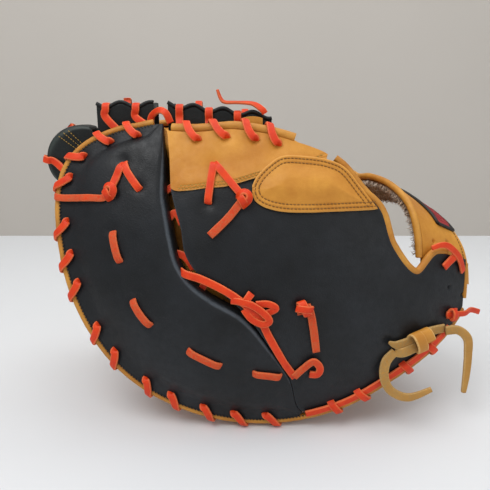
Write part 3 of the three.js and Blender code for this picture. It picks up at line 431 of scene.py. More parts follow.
def sheetWall(front, back, keep=None, flesh=None, wear=None):
    # a wall between two grids of points, open where a cell is not kept
    rows, columns = front.shape[:2]
    keep = np.ones((rows - 1, columns - 1), bool) if keep is None else keep
    index = np.arange(rows * columns).reshape(rows, columns)
    a, b, c, d = index[:-1, :-1], index[1:, :-1], index[1:, 1:], index[:-1, 1:]
    under = rows * columns
    flipped = np.einsum("...i,...i", np.cross(front[1, 0] - front[0, 0], front[0, 1] - front[0, 0]),
                        front[0, 0] - back[0, 0]) < 0
    quads = [np.stack([a, b, c, d], -1)[keep], np.stack([d, c, b, a], -1)[keep] + under]
    padded = np.pad(keep, 1)
    for shiftBy, first, second in (((0, -1), b, a), ((1, 0), c, b), ((0, 1), d, c), ((-1, 0), a, d)):
        beside = padded[1 + shiftBy[0]:rows + shiftBy[0], 1 + shiftBy[1]:columns + shiftBy[1]]
        rim = keep & ~beside
        quads.append(np.stack([first, second, second + under, first + under], -1)[rim])
    quads = np.concatenate(quads)
    if flipped:
        quads = quads[:, ::-1]
    vertices = np.concatenate([front.reshape(-1, 3), back.reshape(-1, 3)])
    used = np.unique(quads)
    renumber = np.zeros(len(vertices), int)
    renumber[used] = np.arange(len(used))

    def doubled(values):
        # a front point's value again for the point behind it
        return None if values is None else np.tile(values.ravel(), 2)[used]

    return meshOf(vertices[used], renumber[quads], (), doubled(flesh), doubled(wear))


def tubeOf(rings, flesh=None, wear=None):
    # a skin round closed rings of points, with a flat face at each end
    steps, around = rings.shape[:2]
    quads = ringQuads(steps, around)
    first, last = np.arange(around), np.arange(around) + (steps - 1) * around
    loops = [first[::-1], last]
    outward = np.cross(rings[0, 1] - rings[0, 0], rings[1, 0] - rings[0, 0])
    if np.dot(outward, rings[0, 0] - rings[0].mean(0)) < 0:
        quads = quads[:, ::-1]
        loops = [first, last[::-1]]

    def spread(values):
        # a value for each point of each ring
        return None if values is None else np.broadcast_to(values, (steps, around)).ravel()

    return meshOf(rings.reshape(-1, 3), quads, loops, spread(flesh), spread(wear))


def alongCurve(points, steps):
    # a smooth curve through points, with the same number of steps between each two
    points = np.asarray(points, float)
    row = np.linspace(0, len(points) - 1, steps * (len(points) - 1) + 1)
    return np.stack([readRow(points[:, k], row) for k in range(3)], -1)


def tangents(path):
    # unit steps along a path
    return unit(np.gradient(path, axis=0))


def roundTube(path, radius, around, ripple):
    # circles square to a path, in a frame carried along it without twist
    path = np.asarray(path, float)
    ahead = tangents(path)
    side = np.zeros_like(path)
    first = np.cross(ahead[0], (0.0, 0.0, 1.0) if abs(ahead[0][2]) < 0.9 else (1.0, 0.0, 0.0))
    side[0] = first / np.linalg.norm(first)
    for k in range(1, len(path)):
        side[k] = unit(side[k - 1] - ahead[k] * np.dot(side[k - 1], ahead[k]))
    other = np.cross(ahead, side)
    angle = np.linspace(0, 2 * np.pi, around, endpoint=False)
    size = np.broadcast_to(radius, len(path))[:, None] * (1 + ripple * softField(path, 4.0)[:, None])
    rings = (path[:, None] + side[:, None] * (size * np.cos(angle))[..., None]
             + other[:, None] * (size * np.sin(angle))[..., None])
    return tubeOf(rings)


lace = {
    "width": 6.0, "thick": 2.3, "steps": 7, "around": 18, "square": 3.6,
    "uneven": 0.05, "broadWave": 7.0, "fineWave": 2.5,
    "underRaw": 0.85, "edgeRaw": 0.5, "edgeWear": 0.9, "faceWear": 0.12,
    "backWidth": 5.8, "tieWidth": 5.6,
}


def flatLace(points, faces, width=lace["width"], thick=lace["thick"], flesh=0.0, steps=lace["steps"]):
    # a flat superellipse carried along a smooth curve with its top turned to the given faces,
    # raw on its underside and pale along its cut edges
    points = np.asarray(points, float)
    path = alongCurve(points, steps)
    row = np.linspace(0, len(points) - 1, len(path))

    def spread(values):
        # values given at the points, on straight lines between them along the curve
        return np.interp(row, np.arange(len(points)), np.broadcast_to(np.asarray(values, float), len(points)))

    faces = np.broadcast_to(np.asarray(faces, float), points.shape)
    up = np.stack([spread(faces[:, k]) for k in range(3)], -1)
    ahead = tangents(path)
    up = unit(up - ahead * np.einsum("ij,ij->i", up, ahead)[:, None])
    across = np.cross(ahead, up)
    angle = np.linspace(0, 2 * np.pi, lace["around"], endpoint=False)
    flat, high = (np.sign(v) * np.abs(v) ** (2 / lace["square"]) for v in (np.cos(angle), np.sin(angle)))
    wave = softField(path, lace["broadWave"]) + 0.5 * softField(path + 50, lace["fineWave"])
    uneven = 1 + lace["uneven"] * wave
    half = (0.5 * spread(width) * uneven)[:, None] * flat
    lift = (0.5 * thick / uneven)[:, None] * high
    rings = path[:, None] + across[:, None] * half[..., None] + up[:, None] * lift[..., None]
    raw = np.maximum(spread(flesh)[:, None], np.where(high < -0.2, lace["underRaw"], 0.0))
    raw = np.maximum(raw, np.where(np.abs(flat) > 0.985, lace["edgeRaw"], 0.0))
    wear = np.where(np.abs(flat) > 0.85, lace["edgeWear"], lace["faceWear"]) * np.ones_like(raw)
    return tubeOf(rings, raw, wear)


stitchBead = {"along": [-1.0, -0.78, 0.0, 0.78, 1.0], "thick": [0.35, 0.85, 1.0, 0.85, 0.35], "around": 6,
              "bend": 0.35, "ends": [[0, 1, 2, 3], [0, 3, 4, 5], [27, 26, 25, 24], [29, 28, 27, 24]]}
seam = {"pitch": 2.7, "length": 2.1, "radius": 0.36}


def stitches(path, faces, pitch, length, radius, slant=0.0, sink=0.05):
    # one small rounded bead of thread for each stitch, in even steps along a path
    path = np.asarray(path, float)
    faces = np.broadcast_to(np.asarray(faces, float), path.shape)
    step = np.r_[0, np.cumsum(np.linalg.norm(np.diff(path, axis=0), axis=1))]
    count = max(int(step[-1] / pitch), 1)
    at = (np.arange(count) + 0.5) * step[-1] / count

    def take(values):
        # the path's values at each stitch's place, on straight lines between its points
        return np.stack([np.interp(at, step, values[:, k]) for k in range(3)], -1)

    middle, up, ahead = take(path), unit(take(faces)), take(tangents(path))
    ahead = unit(ahead - up * np.einsum("ij,ij->i", ahead, up)[:, None])
    across = np.cross(ahead, up)
    ahead, across = (ahead * np.cos(slant) + across * np.sin(slant),
                     across * np.cos(slant) - ahead * np.sin(slant))
    around, rings = stitchBead["around"], len(stitchBead["along"])
    along = np.repeat(stitchBead["along"], around)
    thick = np.repeat(stitchBead["thick"], around) * radius
    angle = np.tile(np.linspace(0, 2 * np.pi, around, endpoint=False), rings)
    high = np.sin(angle) * thick - along**2 * stitchBead["bend"] + radius - sink
    points = (middle[:, None] + ahead[:, None] * (along * length / 2)[:, None]
              + across[:, None] * (np.cos(angle) * thick)[:, None] + up[:, None] * high[:, None])
    quads = np.concatenate([ringQuads(rings, around)[:, [0, 3, 2, 1]], stitchBead["ends"]])
    return meshOf(points.reshape(-1, 3), copiesOf(quads, rings * around, count))


print("tools ready")

# The heel thong's free ends, along the part's own points
thongEnds = {
    "width": 7.5,
    "thick": 3.0,
    "steps": 12,
    "taper": [0.92, 0.95, 0.98, 0.92, 0.82, 0.5],
    "a": {"faces": (0.0, -1.0, 0.25), "flesh": [1, 1, 1, 1, 0.8, 0.6],
          "points": [(114, -79, 66), (107, -82, 59), (106, -84, 47), (112, -85, 36), (125, -87, 32),
                     (141, -89, 40)]},
    "b": {"faces": (0.2, -1.0, 0.1), "flesh": [1, 0.9, 0.5, 0.35, 0.35, 0.6],
          "points": [(157, -64.7, 77), (167, -63.6, 77), (175, -64, 70), (177, -64, 56), (177, -65, 40),
                     (176, -66, 24)]},
}


def addThongEnd(letter):
    # a flat thong along its points, and its length along the curve
    end = thongEnds[letter]
    path = alongCurve(end["points"], thongEnds["steps"])
    widths = thongEnds["width"] * np.array(thongEnds["taper"])
    part = flatLace(end["points"], end["faces"], widths, thongEnds["thick"], end["flesh"], thongEnds["steps"])
    piece = makePiece("heel_tie_end_%s_thong" % letter, [part], "thong", ["heel_tie_end_" + letter])
    length = float(np.linalg.norm(np.diff(path, axis=0), axis=1).sum()) / 1000
    return length


thongLengths = [addThongEnd("a"), addThongEnd("b")]
print("thong ends", [round(v, 4) for v in thongLengths])


# Leathers
softness = {"broadSize": 34.0, "fineSize": 9.0, "apart": 31.0}
holeDimples = {"tie": (1.5, 4.2), "rim": (0.9, 4.0), "top": (1.1, 4.0), "back": (1.4, 4.5),
               "panel": (2.2, 6.5), "pin": (2.4, 1.3)}
holeAhead = 4.4   # how far past its row a whipped lace goes down


def dimples(x, z, places, kind):
    # round hollows, deep at each place and fading as a bell curve, that laces pull into the leather
    depth, radius = holeDimples[kind]
    total = np.zeros(np.broadcast(x, z).shape)
    for placeX, placeZ in places:
        total = total + depth * np.exp(-((x - placeX) ** 2 + (z - placeZ) ** 2) / radius**2)
    return total


def laceHoles(rail, loops, lean=1):
    # where a whipped lace goes down beside a rail
    holes = byRail(rail, np.array(loops), -mitt["laceInset"], 0.0, -lean * holeAhead)
    return [(p[0], p[2]) for p in holes]


def unevenness(points, look):
    # a broad and a fine soft field, each with its own height
    fine = softField(points + softness["apart"], softness["fineSize"])
    return look["broad"] * softField(points, softness["broadSize"]) + look["fine"] * fine


def lacePlaces(places):
    # shares of the mitt's length and height to millimetres
    return [(mitt["length"] * x, mitt["height"] * z) for x, z in places]


crescent = {
    "crown": 4.0,
    "pad": 5.0,
    "roll": 13.0,
    "broad": 0.9,
    "fine": 0.22,
    # the ridge band's strength, place and width: a lighter band that is partly wear, partly a painted
    # highlight
    "ridgeWearAndHighlight": 1.6,
    "ridgeAt": 0.968,
    "ridgeWidth": 0.014,
    "rows": 190,
    "outer": {
        "flange": [0, 1, 1, 1, 1, 1, 1, 1, 1],
        "across": [0, 0, 0.22, 0.5, 0.8, 0.93, 0.985, 1.0, 0.995],
        "crown": [0, 0, 0.8, 1, 0.95, 0.7, 0.3, 0, 0],
        "roll": [0, 0, 0, 0, 0, 0.0, 0.12, 0.5, 1],
    },
    "inner": {
        "flange": [1, 1, 1, 1, 1, 0],
        "across": [0.94, 0.9, 0.5, 0.15, 0, 0],
        "crown": [0, 0, 0.4, 0.3, 0, 0],
        "roll": [1, 0.1, 0, 0, 0, 0],
        "pad": [0, 1, 1, 1, 0, 0],
    },
}
rimLoops = [1.25, 2.35, 3.45, 4.45, 5.8, 6.55, 7.2, 8.2, 8.85, 9.72, 10.3, 10.97, 11.65, 12.37]
topLoops = [2.05, 4.05, 6.2, 7.75]
thumbLoops = [1.8, 3.8, 5.8, 7.8, 9.8, 11.35, 12.1, 14.5]
ties = [
    [(5.8, 0.43), (6.23, 0.435), (6.65, 0.445)],
    [(7.8, 0.42), (8.2, 0.415), (8.6, 0.415)],
    [(9.65, 0.46), (10, 0.48), (10.4, 0.5)],
    [(11.15, 0.64), (11.45, 0.75), (11.75, 0.86)],
]
tipLace = {
    "places": [(4, 0.73), (3.4, 0.56), (3, 0.43), (4.4, 0.43), (4.7, 0.36), (4.8, 0.2), (4.88, 0.07)],
    "lift": [-2.5, 1.5, -2.2, 1.6, 1.6, 1.5, 1.4],
    "rimRows": [5.0, 4.97, 4.9],
    "rimOut": [-7.0, 1.5, 6.4],
    "rimDepth": [-2.6, -1.8, 2.4],
    "tailWidth": 5.4,
}


def crescentPlan(row, flange, across):
    # from the rim in over the flange, and then across to the slot
    rimX, rimZ = plan(fingerRibs, "rim", row)
    slotX, slotZ = plan(fingerRibs, "slot", row)
    length = np.hypot(slotX - rimX, slotZ - rimZ)
    edge = np.minimum(mitt["flange"], 0.45 * length) / length
    share = flange * (edge + (1 - edge) * across)
    return rimX + (slotX - rimX) * share, rimZ + (slotZ - rimZ) * share


def onCrescent(row, across, lift):
    # a place above the crescent at a share of the way from rim to slot
    row, across = np.asarray(row, float), np.asarray(across, float)
    x, z = crescentPlan(row, 1, across)
    swell = np.minimum(1, np.minimum(4 * across, 8 * (1 - across)))
    peak = crescent["crown"] * readRow(fingerRibs["full"], row) * swell
    return onSide(1, x, z, -peak - lift)


def tieHoles():
    # where the ties and the tip's lace dip into the crescent
    ends = [t[0] for t in ties] + [t[2] for t in ties] + [tipLace["places"][0], tipLace["places"][2]]
    points = onCrescent([e[0] for e in ends], [e[1] for e in ends], 0)
    return [(p[0], p[2]) for p in points]


def crescentSurface(row, table, inner):
    # the section's columns read along it, and swelled, rolled and dimpled off the face
    steps = np.linspace(0, len(table["across"]) - 1, 12 * (len(table["across"]) - 1) + 1)
    columns = ("flange", "across", "crown", "roll")
    flange, across, crown, roll = (readRow(table[key], steps)[None] for key in columns)
    pad = readRow(table["pad"], steps)[None] if inner else 0.0
    x, z = crescentPlan(row, np.clip(flange, 0, 1), across)
    full = readRow(fingerRibs["full"], row)
    depth = full * (crescent["pad"] * pad + crescent["roll"] * roll - crescent["crown"] * crown)
    if inner:
        depth = np.maximum(depth + mitt["shell"] * (1 - smoothStep(roll)), mitt["shell"])
    else:
        soft = smoothStep(across / 0.12) * full * (1 - smoothStep(roll * 2))
        depth = depth - soft * unevenness(onSide(1, x, z, 0), crescent)
        depth = depth + dimples(x, z, tieHoles(), "tie")
        depth = depth + dimples(x, z, laceHoles("fingerRim", rimLoops), "rim")
    # a narrow lighter band along the roll, carried as wear: partly rubbed leather, partly a painted highlight
    bell = np.exp(-((across - crescent["ridgeAt"]) / crescent["ridgeWidth"]) ** 2)
    ridgeWearAndHighlight = bell * full * crescent["ridgeWearAndHighlight"] * (1 - smoothStep(roll * 1.6))
    return onSide(1, x, z, depth), np.broadcast_to(ridgeWearAndHighlight, depth.shape)


def buildCrescent():
    # a closed skin round the padded crescent, with a lighter band along its rolled ridge that is partly wear
    # and partly a painted highlight
    row = np.linspace(0, crescentEnd, crescent["rows"])[:, None]
    outer, ridgeWearAndHighlight = crescentSurface(row, crescent["outer"], False)
    inner = crescentSurface(row, crescent["inner"], True)[0]
    rings = np.concatenate([outer, inner], 1)
    wear = np.concatenate([ridgeWearAndHighlight, np.zeros(inner.shape[:2])], 1)
    return makePiece("crescent_leather", [tubeOf(rings, wear=wear)], "blackLeather", ["back_rim"])


buildCrescent()
print("crescent done")

backLaces = {
    "index": {
        "places": [(-0.082, 0.762), (-0.076, 0.82), (-0.069, 0.879), (-0.002, 0.775), (-0.035, 0.72),
                   (-0.077, 0.665)],
        "lift": [-2.5, 1.6, -1.8, 2.4, 1.9, 1.8],
    },
    "slot": {
        "places": [(-0.146, 0.556), (-0.130, 0.549), (-0.094, 0.535), (-0.044, 0.503), (0.0, 0.462),
                   (0.034, 0.41), (0.056, 0.35), (0.088, 0.268), (0.115, 0.208)],
        "lift": [-3.0, 2.2, 2.6, 2.8, 3.2, 2.0, 1.7, 1.6, 0.0],
    },
    "slotRing": {
        "places": [(-0.03, 0.474), (-0.012, 0.472), (0.016, 0.462), (0.042, 0.437), (0.053, 0.414),
                   (0.038, 0.402), (0.014, 0.418), (-0.002, 0.447)],
        "lift": [2.6, 4.4, 5.6, 6.4, 5.8, 4.2, 3.2, 2.8],
    },
    "slotStub": {"places": [(-0.002, 0.466), (0.006, 0.482), (0.014, 0.496)], "lift": [4.6, 4.4, 2.6]},
    "slotSide": {"places": [(0.024, 0.462), (0.05, 0.464), (0.068, 0.45), (0.048, 0.434)],
                 "lift": [3.0, 3.4, 3.2, 2.4]},
    "slotInside1": {"places": [(-0.186, 0.80), (-0.166, 0.815), (-0.15, 0.80)], "lift": -8.0},
    "slotInside2": {"places": [(-0.186, 0.70), (-0.162, 0.735), (-0.145, 0.70)], "lift": -8.0},
    "slotInside3": {"places": [(-0.165, 0.61), (-0.14, 0.60), (-0.118, 0.56)], "lift": -8.0},
    "slotInside4": {"places": [(-0.10, 0.50), (-0.085, 0.52), (-0.06, 0.505)], "lift": -8.0},
    "palm": {"places": [(0.120, 0.452), (0.142, 0.444), (0.152, 0.385), (0.161, 0.302)],
             "lift": [2.0, 2.4, 1.9, 1.8]},
    "fold": {
        "places": [(0.112, 0.214), (0.132, 0.244), (0.154, 0.272), (0.170, 0.248), (0.166, 0.222),
                   (0.148, 0.222)],
        "lift": [1.6, 2.0, 3.6, 3.0, 2.0, 1.6],
    },
    "strap": {"places": [(0.428, 0.606), (0.447, 0.612), (0.470, 0.604), (0.506, 0.562), (0.530, 0.508)],
              "lift": [3.0, 4.6, 4.8, 3.2, 0.6]},
    "strapStub": {"places": [(0.494, 0.566), (0.479, 0.552), (0.467, 0.538)], "lift": [2.6, 2.2, 1.8]},
    "heelTail": {"places": [(0.484, 0.375), (0.498, 0.371), (0.517, 0.366), (0.54, 0.361)],
                 "lift": [1.6, 2.0, 2.4, 2.8]},
    "thong": {"places": [(0.330, 0.318), (0.352, 0.306), (0.392, 0.318), (0.43, 0.333), (0.474, 0.331)],
              "lift": [3.0, 3.2, 3.4, 3.2, 3.0]},
}
heelPins = [(0.492, 0.466), (0.536, 0.425)]
backHoles = [("index", 0), ("index", 2), ("palm", 0), ("slot", 8), ("fold", 4), ("strap", 4), ("thong", 0)]
shell = {"broad": 0.9, "fine": 0.2, "columns": 110, "turnRow": 14, "gap": 9.0, "softEdge": 10}
panel = {
    "rows": 170,
    "columns": 110,
    "crowd": 1.2,          # draws the columns together towards the seam
    "lap": 1.0,            # how far the panel reaches under its seam's line
    "overlap": 1.4,
    "overlapRun": 22,
    "thin": 1.25,
    "broad": 0.8,
    "fine": 0.2,
    "softEdge": 9,
    "stitchRows": (2.4, 5.0),
    "groove": 0.35,
    "grooveWidth": 0.55,
}


def shellRun(row):
    # the slot's and the edge's places on a row, and the distance between them
    slotX, slotZ = plan(fingerRibs, "slot", row)
    edgeX, edgeZ = plan(fingerRibs, "edge", row)
    return slotX, slotZ, edgeX, edgeZ, np.hypot(edgeX - slotX, edgeZ - slotZ)


def shellPlan(row, share):
    # a share of the way from the slot, past its gap, to the edge
    slotX, slotZ, edgeX, edgeZ, length = shellRun(row)
    gap = mitt["clearance"] + shell["gap"] * np.maximum(0, readRow(fingerRibs["gap"], row))
    start = np.where(row < crescentEnd, gap, 0) / length
    share = start + (1 - start) * share
    return slotX + (edgeX - slotX) * share, slotZ + (edgeZ - slotZ) * share


def seamAt(row, move):
    # the share at which the panel's seam lies, moved by some millimetres
    length = shellRun(row)[4]
    return np.clip(readRow(fingerRibs["seam"], row) + move / length, 0, 1)


def buildShell():
    # a wall from the slot to the seam, swelled by soft fields and dimpled at the laces' holes
    turn = shell["turnRow"]
    row = np.r_[np.linspace(shellStart, turn, 140), np.linspace(turn, lastRib, 91)[1:]][:, None]
    share = np.linspace(0, 1, shell["columns"])[None] * seamAt(row, -0.2)
    x, z = shellPlan(row, share)
    holes = lacePlaces([backLaces[name]["places"][k] for name, k in backHoles])
    inboard = np.minimum(share, 1 - share) * shellRun(row)[4]
    depth = -smoothStep(inboard / shell["softEdge"]) * unevenness(onSide(1, x, z, 0), shell)
    depth = depth + dimples(x, z, holes, "back") + dimples(x, z, lacePlaces(heelPins), "pin")
    wear = mitt["wear"] * np.exp(-(inboard / mitt["wearWidth"]) ** 2)
    part = sheetWall(onSide(1, x, z, depth), onSide(1, x, z, mitt["shell"]), wear=wear)
    makePiece("hand_back_leather", [part], "blackLeather", ["hand_back"], bevel=0.7)


def grooves(away, look):
    # a narrow dip under each row of stitches
    return sum(look["groove"] * np.exp(-((away - s) / look["grooveWidth"]) ** 2) for s in look["stitchRows"])


def panelLap(away):
    # how high the panel lies over the shell, falling off away from its seam
    return panel["overlap"] * (1 - smoothStep((away - 4) / panel["overlapRun"]))


def buildPanel():
    # a wall from its seam to the top edge, lapped over the shell and thinned where it laps
    row = np.linspace(0, panelEnd, panel["rows"])[:, None]
    t = np.linspace(0, 1, panel["columns"])[None] ** panel["crowd"]
    low = seamAt(row, -panel["lap"])
    share = low + (1 - low) * t
    away = (share - low) * shellRun(row)[4]
    x, z = shellPlan(row, share)
    sewn = smoothStep(row - shellStart)
    raised = panelLap(away) * smoothStep((row - shellStart + 0.4) / 0.6)
    swell = smoothStep(away / panel["softEdge"]) * unevenness(onSide(1, x, z, 0), panel)
    holes = lacePlaces([backLaces["index"]["places"][2]])
    loops = laceHoles("fingerEdge", topLoops, -1)
    depth = (-raised + grooves(away, panel) * sewn - swell
             + dimples(x, z, holes, "panel") + dimples(x, z, loops, "top"))
    thick = panel["thin"] + (mitt["shell"] - panel["thin"]) * smoothStep((away - 1) / 8)
    raw = np.clip(1.2 - away / 0.8, 0, 1) * sewn
    back = onSide(1, x, z, np.maximum(-raised - 0.1 + thick, -raised + 1.1))
    part = sheetWall(onSide(1, x, z, depth), back, flesh=raw)
    makePiece("index_panel_leather", [part], "tanLeather", ["index_panel"], bevel=0.4)
    line = np.linspace(shellStart + 0.35, panelEnd - 0.25, 260)
    rows = []
    for distance in panel["stitchRows"]:
        share = np.clip(seamAt(line, 0.2) + (distance - panel["lap"] - 0.2) / shellRun(line)[4], 0, 1)
        x, z = shellPlan(line, share)
        rows.append(stitches(onSide(1, x, z, 0.15 - panelLap(distance)), faceNormal(1, x, z), **seam))
    makePiece("index_panel_stitching", rows, "yellowThread", ["index_panel"])


buildShell()
buildPanel()
print("hand back and index panel done")

fingerPad = {
    "lowX": [0.016, 0.024, 0.046, 0.084, 0.135, 0.189, 0.238, 0.282, 0.297],
    "lowZ": [0.788, 0.766, 0.748, 0.736, 0.733, 0.734, 0.735, 0.736, 0.738],
    "topX": [0.016, 0.027, 0.051, 0.084, 0.135, 0.186, 0.225, 0.262, 0.291],
    "topZ": [0.812, 0.84, 0.872, 0.898, 0.897, 0.886, 0.861, 0.8, 0.75],
    "edgeLift": 2.2,
    "crown": 2.9,
    "soft": 0.5,
    "stitchRows": (2.3, 5.2),
    "groove": 0.4,
    "grooveWidth": 0.55,
}


def padOutline():
    # round the pad: its top side back from the last row, and its low side forward again
    rows = np.linspace(8, 0, 160)
    topX, topZ = plan(fingerPad, "top", rows)
    lowX, lowZ = plan(fingerPad, "low", rows[::-1])
    return np.concatenate([np.stack([topX, topZ], -1), np.stack([lowX, lowZ], -1)])


def buildFingerPad():
    # an oval cushion that rises from its sewn edge to a crown, by the distance from the outline
    outline = padOutline()
    row = np.linspace(0, 8, 150)[:, None]
    v = np.linspace(0, 1, 70)[None]
    lowX, lowZ = plan(fingerPad, "low", row)
    topX, topZ = plan(fingerPad, "top", row)
    x, z = lowX + (topX - lowX) * v, lowZ + (topZ - lowZ) * v
    away = np.sqrt(((x[..., None] - outline[:, 0]) ** 2 + (z[..., None] - outline[:, 1]) ** 2).min(-1))
    swell = fingerPad["soft"] * softField(onSide(1, x, z, 0), 20.0) * smoothStep(away / 8)
    lift = (fingerPad["edgeLift"] * (0.75 + 0.25 * smoothStep(away / 1.2))
            + fingerPad["crown"] * smoothStep((away - 4.5) / 13) + swell)
    front, back = onSide(1, x, z, grooves(away, fingerPad) - lift), onSide(1, x, z, -0.35)
    part = sheetWall(front, back, wear=0.5 * np.exp(-away**2))
    cushion = makePiece("finger_pad_leather", [part], "tanLeather", ["finger_pad"], bevel=0.5)
    ahead = unit(np.gradient(outline, axis=0))
    inward = np.stack([-ahead[:, 1], ahead[:, 0]], -1)
    if np.dot(inward[40], outline.mean(0) - outline[40]) < 0:
        inward = -inward
    rows = []
    for distance in fingerPad["stitchRows"]:
        x, z = (outline + inward * distance)[4:-4].T
        rows.append(stitches(onSide(1, x, z, 0.1 - fingerPad["edgeLift"]), faceNormal(1, x, z), **seam))
    makePiece("finger_pad_stitching", rows, "ochreThread", ["finger_pad"])
    return cushion


buildFingerPad()
print("finger pad done")

palmShoulder = {
    "x": [0.111, 0.150, 0.187, 0.224, 0.262, 0.305, 0.352, 0.405, 0.458, 0.520],
    "z": [0.850, 0.815, 0.775, 0.730, 0.680, 0.615, 0.540, 0.470, 0.415, 0.378],
}
palmLook = {"arch": 12.0, "broad": 1.2, "fine": 0.35, "windowStart": 8.3}
thumbBack = {"broad": 1.0, "fine": 0.25, "rows": 190, "columns": 110}


def palmEnd(side, row):
    # the palm's top end: the laced edge beside the web, then the fold's shoulder
    edgeX, edgeZ = rails["fingerEdge" if side > 0 else "thumbEdge"]["at"](row)
    shoulderX = mitt["length"] * readRow(palmShoulder["x"], row - webEnd)
    shoulderZ = mitt["height"] * readRow(palmShoulder["z"], row - webEnd)
    if side < 0:
        rimX, rimZ = rails["thumbRim"]["at"](row)
        lean = smoothStep((row - webEnd) / (lastRib - webEnd))
        shoulderX = shoulderX + (rimX - shoulderX) * lean
        shoulderZ = shoulderZ + (rimZ + 1 - shoulderZ) * lean**2
    folded = smoothStep((row - palmLook["windowStart"]) / (webEnd - palmLook["windowStart"]))
    return edgeX + (shoulderX - edgeX) * folded, edgeZ + (shoulderZ - edgeZ) * folded, folded


def palmSide(side, row, column, under):
    # an arc from the rim to the end that bends through the slot's line, sunk to make room for the hand
    rimX, rimZ = rails["fingerRim" if side > 0 else "thumbRim"]["at"](row)
    endX, endZ, folded = palmEnd(side, row)
    slotX, slotZ = plan(fingerRibs, "slot", row)
    straight = smoothStep((row - webEnd) / 4)
    middleX, middleZ = (rimX + endX) / 2, (rimZ + endZ) / 2
    controlX = 2 * (slotX + (middleX - slotX) * straight) - middleX
    controlZ = 2 * (slotZ + (middleZ - slotZ) * straight) - middleZ
    lowRun = 2 * np.hypot(controlX - rimX, controlZ - rimZ)
    topRun = 2 * np.hypot(endX - controlX, endZ - controlZ)
    low = np.minimum(mitt["flange"] / lowRun, 0.3)
    deep = np.minimum(mitt["slope"] / lowRun, 0.5)
    high = (1 - folded) * np.maximum(1 - mitt["flange"] / topRun, 0.7) + folded * (deep + 0.6 * (1 - deep))
    stops = [0 * low, low, deep, high, 0 * low + 1]
    at = np.clip(column, 0, 4)
    t = sum(stops[k] * np.clip(1 - np.abs(at - k), 0, 1) for k in range(5))
    x = (1 - t) ** 2 * rimX + 2 * t * (1 - t) * controlX + t**2 * endX
    z = (1 - t) ** 2 * rimZ + 2 * t * (1 - t) * controlZ + t**2 * endZ
    fromRim = np.hypot(x - rimX, z - rimZ)
    fromEdge = np.hypot(x - endX, z - endZ) + 1000 * folded
    sunk = smoothStep((np.minimum(fromRim, fromEdge) - mitt["flange"]) / (mitt["slope"] - mitt["flange"]))
    depth = mitt["palmDepth"] + mitt["handRoom"] * sunk
    soft = sunk * unevenness(onSide(side, x, z, depth), palmLook)
    if under:
        depth = depth + mitt["palmFlange"] + (mitt["palmPad"] - mitt["palmFlange"]) * sunk + soft
    return onSide(side, x, z, depth)


def palmSurface(row, column, under):
    # both sides' sheets, and between them an arch that joins them over the fold
    finger = palmSide(1, row, column, under)
    thumb = palmSide(-1, row, 9 - column, under)
    t = np.clip(column - 4, 0, 1)[..., None]
    rise = palmLook["arch"] * smoothStep((lastRib + 1 - row) / 4)
    middle = finger * (1 - t) + thumb * t
    middle[..., 2] += (rise * 4 * t[..., 0] * (1 - t[..., 0]))
    return middle


def buildPalm():
    # one padded sheet over both sides, open under the web
    start = palmLook["windowStart"]
    rows = np.r_[np.linspace(0, start, 70), np.linspace(start, lastRib, 81)[1:]]
    columns = np.r_[np.linspace(0, 4, 60), np.linspace(4, 5, 18)[1:-1], np.linspace(5, 9, 60)]
    row, column = np.meshgrid(rows, columns, indexing="ij")
    middle = (column[:-1, :-1] > 3.999) & (column[:-1, :-1] < 4.999)
    keep = ~((row[:-1, :-1] < start + 0.02) & middle)
    part = sheetWall(palmSurface(row, column, False), palmSurface(row, column, True), keep)
    return makePiece("palm_leather", [part], "palmLeather", ["palm"], bevel=1.2)


def buildThumbBack():
    # a plain wall from the rim to the edge of the thumb side
    row = np.linspace(0, lastRib, thumbBack["rows"])[:, None]
    share = np.linspace(0, 1, thumbBack["columns"])[None]
    rimX, rimZ = rails["thumbRim"]["at"](row)
    edgeX, edgeZ = rails["thumbEdge"]["at"](row)
    x, z = rimX + (edgeX - rimX) * share, rimZ + (edgeZ - rimZ) * share
    inboard = np.minimum(share, 1 - share) * np.hypot(edgeX - rimX, edgeZ - rimZ)
    swell = smoothStep(inboard / shell["softEdge"]) * unevenness(onSide(-1, x, z, 0), thumbBack)
    depth = dimples(x, z, laceHoles("thumbRim", thumbLoops), "rim") - swell
    wear = mitt["wear"] * np.exp(-(inboard / mitt["wearWidth"]) ** 2)
    part = sheetWall(onSide(-1, x, z, depth), onSide(-1, x, z, mitt["shell"]), wear=wear)
    makePiece("thumb_back_leather", [part], "blackLeather", ["thumb_back"], bevel=0.7)


buildPalm()
buildThumbBack()
print("palm and thumb back done")

# Piping, bindings and the stitches beside them
piping = {
    "around": 16,
    "ripple": 0.05,
    "bindingTuck": 0.6,
    "welts": [
        ("rim_welt", "fingerRim", 0.3, lastRib, mitt["weltRadius"], 420),
        ("top_welt", "fingerEdge", 0.4, webEnd, mitt["topWeltRadius"], 160),
        ("thumb_welt", "thumbRim", 0.3, lastRib, mitt["weltRadius"], 360),
    ],
    "bindings": [
        ("back_binding", "fingerEdge", 11.4, 17.3, 200),
        ("roof_binding", "thumbEdge", 9.3, 13.3, 90),
        ("thumb_binding", "thumbEdge", 16.3, 17.8, 50),
    ],
    "heel": [(0.5466, 0.41, 0), (0.5464, 0.44, 0), (0.5462, 0.48, 0), (0.546, 0.53, 0)],
    "heelRadius": 2.0,
    "edgeRows": (0.3, 17.6),
}
edgeThread = {"pitch": 2.6, "length": 2.6, "radius": 0.4, "slant": 1.05, "sink": 0.1}


def pipeAlong(name, rail, first, last, outboard, depth, radius, steps):
    # a round tube beside a rail
    path = byRail(rail, np.linspace(first, last, steps), outboard, depth)
    tube = roundTube(path, radius, piping["around"], piping["ripple"])
    makePiece(name + "_leather", [tube], "binding", [name])


